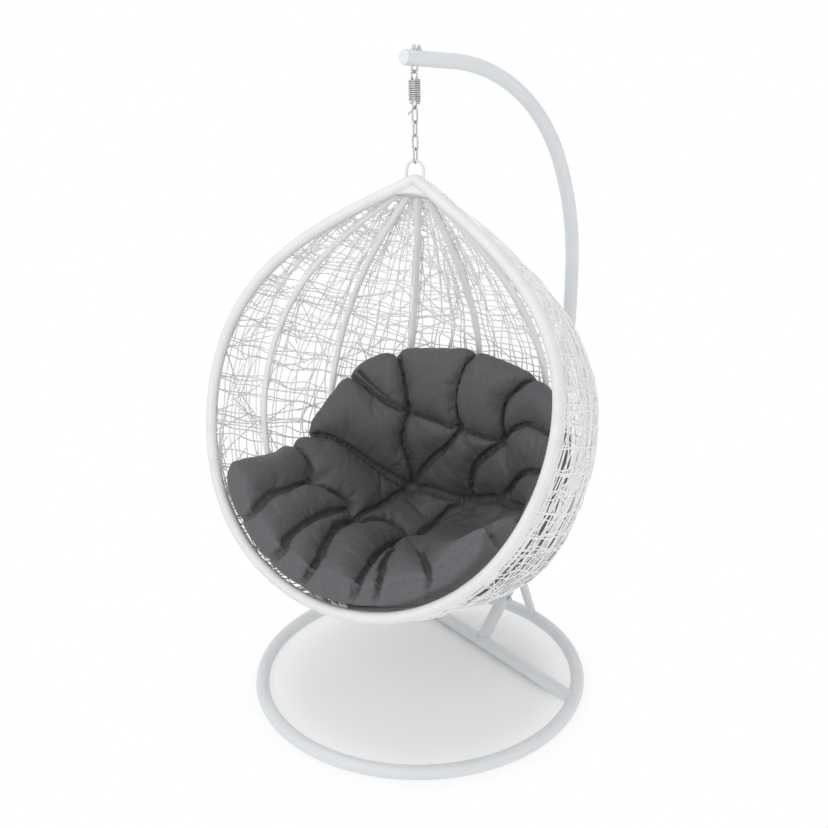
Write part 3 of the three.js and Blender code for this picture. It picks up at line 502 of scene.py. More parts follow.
# %% Finishes for the nodes that stay
COATED_NODES = ["rear_strut", "strut_lug"]
ZINC_NODES = ["stub_bolt", "stub_bolt_washer", "stub_bolt_nut", "post_joint_bolt", "post_joint_nut"]
ZINC_NODES += ["strut_bolt", "strut_bolt_nut", "u_bolt_seat_front", "u_bolt_seat_back"]
EDGE_ANGLE = math.radians(38)
for name in COATED_NODES + ZINC_NODES:
    coated = name in COATED_NODES
    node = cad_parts[name]
    node.data.materials.clear()
    node.data.materials.append(STAND_COAT if coated else ZINC)
    soften = node.modifiers.new("softened_edges", "BEVEL")
    soften.width, soften.segments = (0.8 if coated else 0.5) * MM, 2
    soften.angle_limit = EDGE_ANGLE
    node.data.shade_smooth()
    node.data.set_sharp_from_angle(angle=EDGE_ANGLE)
print(len(COATED_NODES + ZINC_NODES), "nodes kept")

# %% [markdown]
# ## Weld beads
#
# Where tube meets tube, the welder leaves a bead, and it is coated with the rest. It
# is drawn as a thin closed tube round the joint, along the curve where both tubes'
# surfaces meet, found point by point. Small ripples are the pools that the torch leaves.

# %% Weld beads
BEAD_POINTS = 72
lug_bolt = np.array([0, 176.7, 204]) * MM
bar_middle = np.array([0, 0, FOOT_HEIGHT])
stay_foot = np.array([0, RING_RADIUS - CROSSBAR_FROM_CENTRE, FOOT_HEIGHT])


def square_to(way):
    """The unit direction along way, and two more that are square to it."""
    way = unit(np.asarray(way, float))
    first = unit(np.cross(way, (1.0, 0, 0) if abs(way[0]) < 0.7 else (0, 0, 1.0)))
    return way, first, np.cross(way, first)


def from_crossbar(point):
    """Distance to the crossbar's axis."""
    return math.hypot(point[1], point[2] - FOOT_HEIGHT)


def from_ring(point):
    """Distance to the ring's axis."""
    outwards = math.hypot(point[0], point[1] + CROSSBAR_FROM_CENTRE) - RING_RADIUS
    return math.hypot(outwards, point[2] - FOOT_HEIGHT)


def weld(start, way, radius, axis_distance):
    """A bead where a tube from start meets the tube whose axis is axis_distance away."""
    way, first, second = square_to(way)
    curve = []
    for angle in full_turn(BEAD_POINTS):
        base = start + radius * (first * math.cos(angle) + second * math.sin(angle))
        low, high = -0.01, 0.09
        for _ in range(40):
            middle = (low + high) / 2
            inside = axis_distance(base + way * middle) < TUBE_RADIUS
            low, high = (middle, high) if inside else (low, middle)
        curve.append(base + way * high)
    ripples = 1.6 * MM * (1 + 0.22 * np.sin(np.arange(BEAD_POINTS) * 2.4))
    return tube_mesh(curve, ripples[:, None], 8, closed=True)


beads = [weld(bar_middle, leaning(math.radians(POST_LEAN)), TUBE_RADIUS, from_crossbar)]
beads.append(weld(stay_foot, lug_bolt - stay_foot, 15 * MM, from_ring))
for side in (-1, 1):
    end = np.array([side * crossbar_half, 0, FOOT_HEIGHT])
    beads.append(weld(end, (-side, 0, 0), TUBE_RADIUS, from_ring))
weld_vertices, weld_faces = joined(beads)
weld_vertices[:, 2] = np.maximum(weld_vertices[:, 2], 0.2 * MM)
add_piece("weld_beads", (weld_vertices, weld_faces), STAND_COAT, "stand")
print(len(beads), "beads")

# %% [markdown]
# ## End cap
#
# The arm's open end has a moulded plug with a low dome. It is a turned form, so a
# profile from the rim to the middle is spun round the arm's axis.

# %% End cap
arm_way = leaning(math.radians(ARM_LEAN))
arm_up = np.cross(arm_way, [1, 0, 0])


def spun(start, way, profile, sides=40):
    """A closed turned body. Its profile is (distance along, radius) in mm, end to end."""
    way, first, second = square_to(way)
    angles = full_turn(sides)
    spokes = np.outer(np.cos(angles), first) + np.outer(np.sin(angles), second)
    rings = [start + (way * along + radius * spokes) * MM for along, radius in profile]
    return np.vstack(rings), bands(len(profile), sides)


CAP_PROFILE = [(-0.4, 19), (0.3, 20.8), (1.6, 21), (2.6, 20.4)]
CAP_PROFILE += [(3.3, 18), (3.9, 12), (4.1, 5), (4.15, 0.5)]
cap_mesh = spun(arm_tip, arm_way, CAP_PROFILE)
add_piece("arm_plug", cap_mesh, CAP_PLASTIC, "stand", ["arm_end_cap"])
print("cap dome", CAP_PROFILE[-1][0], "mm")

# %% [markdown]
# ## U-bolt and dome nuts
#
# The pod hangs from a bent rod with two threaded legs through the arm. A dome nut
# closes each leg: a hexagon, a flange line and a half ball. The hexagon's corners are
# turned off, which is the chamfer that every nut has.

# %% U-bolt and dome nuts
U_HALF, LEG_TOP, LEG_BOTTOM, NUT_SEAT = 9, 29.5, -20, 23.8
hang_on_arm = arm_tip - arm_way * 37 * MM
u_bottom = hang_on_arm - arm_up * 37 * MM
u_centre = u_bottom + arm_up * U_HALF * MM
leg_heights = [LEG_TOP, *np.linspace(-LEG_BOTTOM, LEG_BOTTOM, 4)]
u_path = [hang_on_arm + (arm_way * U_HALF + arm_up * height) * MM for height in leg_heights]
for angle in np.linspace(0, math.pi, 25):
    u_path.append(u_centre + (arm_way * math.cos(angle) - arm_up * math.sin(angle)) * U_HALF * MM)
u_path += [hang_on_arm + (arm_up * height - arm_way * U_HALF) * MM for height in leg_heights[::-1]]


def zinc_piece(name, mesh, body, node, smooth_angle=40):
    return add_piece(name, mesh, ZINC, body, [node], smooth_angle)


def dome_nut(seat, way):
    """A hexagon with turned corners under a half ball."""
    hexagon = [(0, 5.4), (0.6, 6), (5.4, 6), (6, 5.3)]
    ball = [(5.8, 4.9)]
    for angle in np.linspace(0, math.pi / 2, 9):
        ball.append((6 + 4.9 * math.sin(angle), max(4.9 * math.cos(angle), 0.2)))
    return joined([spun(seat, way, hexagon, sides=6), spun(seat, way, ball, sides=24)])


zinc_piece("hanger_u_bolt", tube_mesh(u_path, 3 * MM, 16, (1, 0, 0)), "stand", "u_bolt")
for place, side in (("front", 1), ("back", -1)):
    seat = hang_on_arm + (arm_way * side * U_HALF + arm_up * NUT_SEAT) * MM
    zinc_piece("dome_nut_" + place, dome_nut(seat, arm_up), "stand", "u_bolt_nut_" + place, 30)
print("u-bolt bottom", u_bottom.round(4))

# %% [markdown]
# ## Spring, draw bars and chain
#
# Two hairpins of wire pass through the spring and hook over its far ends, so a pull
# on them squeezes the coil. Everything here hangs on one upright axis, turned 19
# degrees with the pod. The links are round wire bent to a long oval.

# %% The hanging axis and the draw bars
HANG_TURN = math.radians(19)
HANG = Matrix.Translation((0, u_bottom[1], 0)) @ Matrix.Rotation(HANG_TURN, 4, "Z")
hang_turn, hang_move = np.array(HANG.to_3x3()), np.array(HANG.translation)


def hung(points):
    """Points beside the hanging axis, in millimetres, as places in metres."""
    return np.asarray(points, float) * MM @ hang_turn.T + hang_move


BAR_TOP, BAR_BOTTOM = 1885.42, 1785.42
COIL_TOP, COIL_BOTTOM = 1861.42, 1805.42
COIL_RADIUS, COIL_WIRE, COIL_TURNS = 14.1, 2.6, 10
BAR_WIRE, BAR_HALF, HOOK_REACH, HOOK_GAP, HOOK_BEND = 2.25, 8.4, 7, 4.95, 2.5
LINK_TOP, LINK_STEP, LINK_LENGTH, LINK_HALF, LINK_WIRE = 1790.47, 35.7, 41, 7.5, 2.5
ACROSS = np.array([[1.0, 0, 0], [0, 1.0, 0]])
UPRIGHT = np.array([0, 0, 1.0])


def rounded(corner, before, after):
    """Points of the bend at a corner of a wire."""
    ends = [corner + unit(p - corner) * HOOK_BEND for p in (before, after)]
    share = np.linspace(0, 1, 6)[:, None]
    return list((1 - share) ** 2 * ends[0] + 2 * share * (1 - share) * corner + share**2 * ends[1])


def hairpin(bend, leg, up, across):
    """A wire from one hook along its leg, round the bend, and back to the other hook."""
    corners = [across * side * BAR_HALF + UPRIGHT * leg for side in (1, -1)]
    hooks = [across * side * (BAR_HALF + HOOK_REACH) + UPRIGHT * leg for side in (1, -1)]
    centre = UPRIGHT * (bend - up * BAR_HALF)
    path = [hooks[0]] + rounded(corners[0], hooks[0], centre + across * BAR_HALF)
    for angle in np.linspace(0, math.pi, 25):
        path.append(centre + BAR_HALF * (across * math.cos(angle) + UPRIGHT * up * math.sin(angle)))
    path += rounded(corners[1], centre - across * BAR_HALF, hooks[1]) + [hooks[1]]
    return tube_mesh(hung(path), BAR_WIRE * MM, 14)


upper_bar = hairpin(BAR_TOP, COIL_BOTTOM - HOOK_GAP, 1, ACROSS[0])
lower_bar = hairpin(BAR_BOTTOM, COIL_TOP + HOOK_GAP, -1, ACROSS[1])
tail = [[-27 * s**1.6, BAR_HALF, COIL_BOTTOM - 4.5 - 31 * s] for s in np.linspace(0, 1, 12)]
lower_bar = joined([lower_bar, tube_mesh(hung(tail), 2.1 * MM, 10)])
zinc_piece("upper_draw_bar", upper_bar, "spring_upper", "spring_upper_bar")
zinc_piece("lower_draw_bar", lower_bar, "spring_lower", "spring_lower_bar")
print("draw bars", BAR_TOP - BAR_BOTTOM, "mm over all, hung at", hang_move.round(4))

# %% Spring
turns = np.linspace(-0.06, COIL_TURNS + 0.06, 300)
coil_out = np.stack([np.cos(turns * 2 * math.pi), np.sin(turns * 2 * math.pi), 0 * turns], axis=1)
coil_pitch = (COIL_TOP - COIL_BOTTOM) / COIL_TURNS
coil_path = COIL_RADIUS * coil_out
coil_path[:, 2] = COIL_BOTTOM + np.clip(turns, 0, COIL_TURNS) * coil_pitch
coil_mesh = tube_mesh(hung(coil_path), COIL_WIRE * MM, 12, coil_out @ hang_turn.T)
spring = zinc_piece("squeezed_spring", coil_mesh, None, "spring_coil")
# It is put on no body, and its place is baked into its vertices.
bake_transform(spring)
print("coil of", COIL_TURNS, "turns")

# %% Links
for number in range(4):
    top = LINK_TOP - number * LINK_STEP
    path = []
    for start, centre_z in ((0, top - LINK_HALF), (math.pi, top - LINK_LENGTH + LINK_HALF)):
        for angle in np.linspace(start, start + math.pi, 17):
            sideways = ACROSS[number % 2] * LINK_HALF * math.cos(angle)
            path.append(sideways + UPRIGHT * (centre_z + LINK_HALF * math.sin(angle)))
    link = tube_mesh(hung(path), LINK_WIRE * MM, 14, closed=True)
    zinc_piece(f"wire_link_{number + 1}", link, f"link_{number + 1}", f"chain_link_{number + 1}")
print("4 links of", LINK_LENGTH, "mm")

# %% [markdown]
# ## The pod's surface
#
# The pod is a drop shape cut by the plane of its mouth. Two profiles from apex to
# foot give its half width and depth at each level, and each level's section is a
# rounded oval. Every piece of the pod is placed on this surface, or a set distance
# off it, so one function gives points and another the direction that faces out.

# %% The pod's surface
MOUTH_HEIGHT, MOUTH_HALF_WIDTH, POD_DEPTH = 1212, 560, 768
SECTION_EXPONENT = 2.68
HOOP_CROWN, HOOP_ABOVE_APEX = 1649.37, 48
RIM_RADIUS = 16.5
WEAVE_MIDDLE = 12.9
RIB_INSET = -1.7


def profile(shares):
    sharpness, first, second, third = shares

    def shape(t):
        swell = 1 + first * np.cos(t) + second * np.cos(2 * t) + third * np.cos(3 * t)
        return np.sin(t) * np.abs(np.sin(t / 2)) ** sharpness * swell

    most = shape(np.linspace(0, math.pi, 401)[:-1]).max()
    return lambda t: shape(t) / most


width_share = profile((1.35, 0.6, 0.18, 0.03))
depth_share = profile((0.97, -0.09, 0.23, -0.09))


def below_apex(t):
    return MOUTH_HEIGHT * (1 - np.cos(t)) / 2


def section(angle):
    """Sine and cosine of angles from rim (-90 degrees) over the back (0) to rim (90)."""
    return np.sin(np.radians(angle)), np.maximum(np.cos(np.radians(angle)), 0)


def pod_point(t, angle):
    """Points of the surface in millimetres: t from apex 0 to foot pi."""
    sine, cosine = section(angle)
    power = 2 / SECTION_EXPONENT
    x = MOUTH_HALF_WIDTH * width_share(t) * np.sign(sine) * np.abs(sine) ** power
    return np.stack([x, POD_DEPTH * depth_share(t) * cosine**power, -below_apex(t) + 0 * sine], axis=-1)


def pod_normal(t, angle):
    sine, cosine = section(angle)
    power = 2 * (SECTION_EXPONENT - 1) / SECTION_EXPONENT
    width, depth = MOUTH_HALF_WIDTH * width_share(t), POD_DEPTH * depth_share(t)
    before, after = t - 1e-3, t + 1e-3
    drop = below_apex(after) - below_apex(before)
    width_slope = MOUTH_HALF_WIDTH * (width_share(after) - width_share(before)) / drop
    depth_slope = POD_DEPTH * (depth_share(after) - depth_share(before)) / drop
    z = sine**2 * width_slope / width + cosine**2 * depth_slope / depth
    x, y = np.sign(sine) * np.abs(sine) ** power / width, cosine**power / depth
    return unit(np.stack([x, y, z], axis=-1))


POD_LEAN = math.radians(23)
apex_place = Matrix.Translation((0, 0, (HOOP_CROWN - HOOP_ABOVE_APEX) * MM))
POD = HANG @ apex_place @ Matrix.Rotation(-POD_LEAN, 4, "X")
pod_turn, pod_move = np.array(POD.to_3x3()), np.array(POD.translation)


def on_pod(points):
    """Points in the pod's own millimetres as places in metres."""
    return np.asarray(points, float) * MM @ pod_turn.T + pod_move


print("apex at", on_pod([[0, 0, 0]])[0].round(4))

# %% [markdown]
# ## Rim
#
# The mouth's edge is a steel hoop wound from end to end with flat wicker, about
# 6 mm wide. Each turn stands a little proud in its middle and dips where it meets the
# next, and the turns lean, because the strand advances as it goes round. The tube's
# radius follows that: it rises and falls along the hoop and round the section.

# %% Rim and its winding
def t_at_width(target):
    """Where the pod's half width reaches the target, counted from the apex."""
    low, high = 0.0, math.pi / 2
    while high - low > 1e-9:
        middle = (low + high) / 2
        narrow = MOUTH_HALF_WIDTH * width_share(middle) < target
        low, high = (middle, high) if narrow else (low, middle)
    return low


rim_side = pod_point(np.linspace(t_at_width(14), math.pi, 400), np.full(400, 90.0))
rim_side[:, 1] = 0
apex_way = unit(rim_side[1] - rim_side[0])
apex_bend = rim_side[0][0] / -apex_way[2]
apex_centre_z = rim_side[0][2] - apex_bend * apex_way[0]
apex_turn = math.acos(rim_side[0][0] / apex_bend)
bend_angles = np.linspace(math.pi - apex_turn, apex_turn, 24)[:-1]
arc = [[apex_bend * math.cos(a), 0, apex_centre_z + apex_bend * math.sin(a)] for a in bend_angles]
rim_line = np.vstack([arc, rim_side, (rim_side * [-1, 1, 1])[::-1][1:]])
STRAND_PITCH = 6.0
RIM_SIDES = 20
rim_path = smooth_path(rim_line, STRAND_PITCH / 5, closed=True)
turns_along = np.arange(len(rim_path))[:, None] / 5 + np.arange(RIM_SIDES)[None] / RIM_SIDES
fullness = np.abs(np.sin(turns_along * math.pi)) ** 0.55
unevenness = np.array([noise.noise(Vector((i * 0.02, 3.1, 0))) for i in range(len(rim_path))])[:, None]
rim_reach = (RIM_RADIUS - 1.5 + 2.0 * fullness + 0.5 * unevenness) * MM
rim_across = np.tile(pod_turn[:, 1], (len(rim_path), 1))
rim_mesh = tube_mesh(on_pod(rim_path), rim_reach, RIM_SIDES, rim_across, closed=True)
add_piece("wound_rim", rim_mesh, WICKER, "pod", ["rim_hoop"], 180)
print("rim", len(rim_path) // 5, "turns,", len(rim_mesh[0]), "vertices")

# %% [markdown]
# ## Apex winding and hanger hoop
#
# Under the apex the crotch between the two sides of the rim is filled. Strands bind
# both sides to the gusset plate, turn on turn, as far down as the hand can pull them
# tight. The filling is a stack of level loops that widens with the crotch.
# The hoop that takes the chain is a coated rod whose feet go into the winding.

# %% Apex winding
CROTCH_TOP, CROTCH_BOTTOM, LOOP_POINTS, EDGE_ROUNDING = -8.0, -54.0, 64, 9
around = full_turn(LOOP_POINTS)
loop_cosine = np.sign(np.cos(around)) * np.abs(np.cos(around)) ** (2 / 3)
loop_sine = np.sign(np.sin(around)) * np.abs(np.sin(around)) ** (2 / 3)
loops = []
for z in np.arange(CROTCH_TOP, CROTCH_BOTTOM, -1.0):
    ridge = 1.2 * abs(math.sin(math.pi * z / STRAND_PITCH)) ** 0.55
    over_edge = max(CROTCH_BOTTOM + EDGE_ROUNDING - z, 0) / EDGE_ROUNDING
    half_depth = (RIM_RADIUS - 7) * math.sqrt(max(1 - over_edge**2, 0.01)) + ridge
    half_length = max(-z - 14, 6) * 1.28 + 12
    arch = 9 * (1 - loop_cosine**2) * (z - CROTCH_TOP) / (CROTCH_BOTTOM - CROTCH_TOP)
    loops.append(np.stack([half_length * loop_cosine, half_depth * loop_sine + 3, z + arch], axis=1))
# The loops run downwards, so the walls and both end caps are turned over.
loop_faces = bands(len(loops), LOOP_POINTS)
walls = [(face[0], *face[:0:-1]) for face in loop_faces[:-2]]
caps = [face[::-1] for face in loop_faces[-2:]]
apex_mesh = (on_pod(np.vstack(loops)), walls + caps)
add_piece("apex_binding", apex_mesh, WICKER, "pod", ["apex_crown"], 180)
print("winding down to", CROTCH_BOTTOM, "mm")

# %% Hanger hoop
HOOP_RADIUS, HOOP_ROD = 27.5, 4.2
hoop_top = HOOP_ABOVE_APEX * np.array([0, -math.sin(POD_LEAN), math.cos(POD_LEAN)])
hoop_foot_z = -float(below_apex(t_at_width(HOOP_RADIUS)))
hoop_down = unit(np.array([0, 0, hoop_foot_z]) - hoop_top)
hoop_centre = hoop_top + hoop_down * HOOP_RADIUS
hoop_path = [[HOOP_RADIUS, 0, hoop_foot_z]]
for angle in np.linspace(0, math.pi, 33):
    sideways = np.array([math.cos(angle), 0, 0])
    hoop_path.append(hoop_centre + HOOP_RADIUS * (sideways - hoop_down * math.sin(angle)))
hoop_path.append([-HOOP_RADIUS, 0, hoop_foot_z])
hoop_mesh = tube_mesh(on_pod(hoop_path), HOOP_ROD * MM, 18)
add_piece("coated_hoop", hoop_mesh, HOOP_COAT, "pod", ["hanger_hoop"])
print("hoop crown at", on_pod([hoop_top])[0].round(4))

# %% [markdown]
# ## Ribs
#
# Seven coated tubes run from the foot of the rim over the back to the apex, just
# inside the weave. They stay bare, so they are smooth beside the rough wicker.

# %% Ribs
RIB_ANGLES = [-76, -50, -21, 0, 21, 50, 76]


def step_t(share):
    return math.pi * (share + 0.12 * np.sin(math.pi * share))


rib_t = step_t(np.linspace(0.05, 0.978, 150))
for number, angle in enumerate(RIB_ANGLES, start=1):
    angles = np.full(150, float(angle))
    path = smooth_path(pod_point(rib_t, angles) + RIB_INSET * pod_normal(rib_t, angles), 14)
    rib_mesh = tube_mesh(on_pod(path), 10 * MM, 20)
    add_piece(f"bare_rib_{number}", rib_mesh, RIB_COAT_PAINTED_LIGHTER, "pod", [f"rib_{number}"])
print(len(RIB_ANGLES), "ribs")

# %% [markdown]
# ## The weave
#
# The skin is woven freely by hand: strands run from rim to rim and from apex to foot,
# wander, cross at odd angles and leave holes of all sizes. A pattern can't give that
# depth, so each strand is a real tube. Its path is drawn on a flat map of the pod,
# with u from rim to rim and v from apex to foot, both in equal real steps, and is
# then laid on the surface, in and out past its neighbours.

# %% A flat map of the pod
MAP_SIZE = 181


def skin_point(t, angle):
    """Points in the middle of the woven skin."""
    return pod_point(t, angle) + WEAVE_MIDDLE * pod_normal(t, angle)


map_t = step_t(np.linspace(0.03, 0.985, 600))
spine_lengths = lengths_along(skin_point(map_t, np.zeros(600)))
level_t = np.interp(np.linspace(0, spine_lengths[-1], MAP_SIZE), spine_lengths, map_t)
angles = np.linspace(-90, 90, 721)
map_points = np.zeros((MAP_SIZE, MAP_SIZE, 3))
map_normals = np.zeros((MAP_SIZE, MAP_SIZE, 3))
level_widths = np.zeros(MAP_SIZE)
for row, t in enumerate(level_t):
    widths = lengths_along(skin_point(np.full(721, t), angles))
    level_widths[row] = widths[-1]
    wanted = np.interp(np.linspace(0, widths[-1], MAP_SIZE), widths, angles)
    map_points[row] = pod_point(np.full(MAP_SIZE, t), wanted)
    map_normals[row] = pod_normal(np.full(MAP_SIZE, t), wanted)
SKIN_LENGTH, SKIN_WIDTH = spine_lengths[-1], level_widths.max()


def from_map(grid, u, v):
    """Values of a map at shares u and v, read between its points."""
    x, y = np.clip(u, 0, 1) * (MAP_SIZE - 1), np.clip(v, 0, 1) * (MAP_SIZE - 1)
    i, j = np.minimum(y.astype(int), MAP_SIZE - 2), np.minimum(x.astype(int), MAP_SIZE - 2)
    a, b = (y - i)[:, None], (x - j)[:, None]
    before, after = grid[i, j] * (1 - a), grid[i, j + 1] * (1 - a)
    return (before + grid[i + 1, j] * a) * (1 - b) + (after + grid[i + 1, j + 1] * a) * b


print("skin", round(SKIN_LENGTH), "mm long and", round(SKIN_WIDTH), "mm round")

# %% [markdown]
# The random numbers come from one seeded generator, so every run weaves the same
# pod. Three families share the skin: upright strands, which thin out towards the apex
# and the foot, level strands from rim to rim, and slanting ones that tie them
# together. Close to the rim the strands crowd, because each weft turns back there.

# %% How a strand is laid
STRAND_RADIUS = 2.05
rng = np.random.default_rng(7)


def lay_strand(u, v, layer):
    """One strand on the surface through shares u and v of the map."""
    base, normal = from_map(map_points, u, v), unit(from_map(map_normals, u, v))
    steps = lengths_along(base)
    if steps[-1] < 30:
        return
    wave = 1.0 * np.sin(steps / rng.uniform(9, 16) + rng.uniform(0, 6.3))
    swell = np.array([noise.noise(Vector(point) * 0.012) for point in base])
    path = base + normal * (WEAVE_MIDDLE + layer + wave + 5 * swell)[:, None]
    radius = STRAND_RADIUS * rng.uniform(0.85, 1.1) * MM
    strands.append(tube_mesh(on_pod(path), radius, 6, normal @ pod_turn.T))


def wander(length, reach, spans):
    """A smooth random walk with a value at each of length points."""
    knots = rng.normal(0, reach, max(int(spans), 2) + 2)
    rough = np.interp(np.linspace(0, len(knots) - 1, length), np.arange(len(knots)), knots)
    spread = np.concatenate([[rough[0]] * 3, rough, [rough[-1]] * 3])
    return np.convolve(spread, np.ones(3) / 3, "same")[3:-3]


def upright(u_middle, first_row, last_row, reach):
    v = np.linspace(first_row, last_row, int((last_row - first_row) * 0.62) + 8) / (MAP_SIZE - 1)
    drift = rng.normal(0, reach / 400) * np.linspace(-1, 1, len(v))
    sway = wander(len(v), reach / SKIN_WIDTH, SKIN_LENGTH * (v[-1] - v[0]) / 70)
    lay_strand(np.clip(u_middle + drift + sway, 0.001, 0.999), v, rng.choice([-1.2, 1.2]))


print("strands of", round(2 * STRAND_RADIUS, 1), "mm")

# %% Weave the strands
strands = []
UPRIGHT_GAP, LEVEL_GAP, EDGE_GAP, CLOSEST = 23.0, 20.0, 9.0, 10.0
upright_count = int(SKIN_WIDTH / UPRIGHT_GAP)
for rank, place in enumerate(rng.permutation(upright_count)):
    rows = np.flatnonzero(level_widths / CLOSEST > rank + 1)
    if len(rows) > 20:
        upright((place + 0.5) / upright_count, rows[0], rows[-1], 8.0)
for side in (0, 1):
    for number in range(4):
        share = (number + 0.6) * EDGE_GAP / SKIN_WIDTH
        for first in range(4, MAP_SIZE - 40, 30):
            last = min(first + int(rng.uniform(30, 70)), MAP_SIZE - 3)
            upright(abs(side - share * rng.uniform(0.8, 1.2)), first, last, 2.5)
level_count = int(SKIN_LENGTH / LEVEL_GAP)
for row in range(level_count):
    u = np.linspace(0.001, 0.999, 130)
    slope = rng.normal(0, 0.012) * np.linspace(-1, 1, 130)
    v = (row + 0.5) / level_count + slope + wander(130, 7.0 / SKIN_LENGTH, SKIN_WIDTH / 60)
    lay_strand(u, np.clip(v, 0.004, 0.996), rng.choice([-1.2, 1.2]))
for _ in range(500):
    length, way, middle = rng.uniform(90, 380), rng.uniform(15, 165), rng.uniform(0.03, 0.97)
    local = max(np.interp(middle, np.linspace(0, 1, MAP_SIZE), level_widths), 150)
    steps = np.linspace(-0.5, 0.5, int(length / 11) + 6)
    bend = rng.normal(0, 22) * (4 * steps**2 - 0.3)
    u = rng.uniform(0, 1) + (steps * length * math.cos(math.radians(way)) + bend) / local
    v = middle + steps * length * math.sin(math.radians(way)) / SKIN_LENGTH
    inside = (u > 0) & (u < 1) & (v > 0.01) & (v < 0.99)
    if inside.sum() > 6:
        lay_strand(u[inside], v[inside], rng.choice([-2.4, 0.0, 2.4]))
weave_mesh = joined(strands)
add_piece("woven_skin", weave_mesh, STRAND_PAINTED_LIGHTER, "pod", ["weave_shell"], 180)
print(len(strands), "strands,", len(weave_mesh[0]), "vertices")

# %% [markdown]
# ## The cushion
#
# One large cushion fills the seat and climbs the back. Buttons are pulled through it,
# and the cover gathers into deep creases from button to button and out to the edge,
# so it swells into fat lobes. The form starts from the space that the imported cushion
# holds: along rays from a point inside the pod, its back is where the ribs are, and
# its face stands off that by the filling's thickness.

# %% Rays from inside the pod to the ribs
RAYS_FROM = np.array([0, 220.0, -560.0])
rays_axis = unit(np.array([0, 740.0, -980.0]) - RAYS_FROM)
rays_up = np.cross([1.0, 0, 0], rays_axis)
WALL_INSET = 10 - RIB_INSET + 1
# Angle from the rays' axis to the cushion's edge, from its front (0) to its top (180)
EDGE_ANGLES = [86, 84, 85, 91, 74, 63, 64, 67, 69, 68, 67, 67, 68]
turn_places = np.arange(-180, 181)
edge_table = np.interp(np.abs(turn_places), np.arange(13) * 15, EDGE_ANGLES)
edge_table = np.convolve(np.tile(edge_table[:-1], 3), np.ones(11) / 11, "same")[360:721]


def direction_of(away, round_angle):
    """Ray directions at angles in radians from the axis and round it."""
    sideways = -rays_up * np.cos(round_angle)[..., None]
    sideways = sideways + np.array([1.0, 0, 0]) * np.sin(round_angle)[..., None]
    return rays_axis * np.cos(away)[..., None] + sideways * np.sin(away)[..., None]


def grid_size(points):
    """Below 1 inside the pod, and 1 on its surface. In front of the mouth the pod goes
    on as a straight sleeve."""
    t = np.arccos(np.clip(1 + 2 * points[..., 2] / MOUTH_HEIGHT, -1, 1))
    half_width = np.maximum(MOUTH_HALF_WIDTH * width_share(t), 0.1)
    depth = np.maximum(POD_DEPTH * depth_share(t), 0.1)
    wide = (np.abs(points[..., 0]) / half_width) ** SECTION_EXPONENT
    deep = (np.maximum(points[..., 1], 0) / depth) ** SECTION_EXPONENT
    below_foot = points[..., 2] < -MOUTH_HEIGHT
    return t, wide + 9 * below_foot, deep


def wall_distance(directions):
    """Distance along rays to the ribs' inner sides."""
    low, high = np.zeros(directions.shape[:-1]), np.full(directions.shape[:-1], MOUTH_HEIGHT)
    for _ in range(30):
        middle = (low + high) / 2
        _, wide, deep = grid_size(RAYS_FROM + directions * middle[..., None])
        high, low = np.where(wide + deep > 1, middle, high), np.where(wide + deep > 1, low, middle)
    points = RAYS_FROM + directions * low[..., None]
    t, wide, deep = grid_size(points)
    angle = np.degrees(np.arctan2(np.sqrt(wide), np.sqrt(deep))) * np.sign(points[..., 0])
    facing = (directions * pod_normal(np.clip(t, 0.01, 3.13), angle)).sum(-1)
    return low - WALL_INSET / np.maximum(facing, 0.3)


print("wall ahead of the rays", round(float(wall_distance(rays_axis[None])[0])), "mm")

# %% [markdown]
# The creases are lines on a round map of the cushion: a share of the way to the edge
# and an angle round it. Near a crease the cover dips by a depth that fades with the
# distance, sharply at first and then slowly, as stretched cloth does over stuffing.

# %% Buttons and creases
# Buttons as (share, angle) places
BUTTONS = [(0.53, -119), (0.26, 177), (0.42, 120), (0.28, -81)]
BUTTONS += [(0.02, 34), (0.7, -55), (0.41, -42), (0.22, -27)]
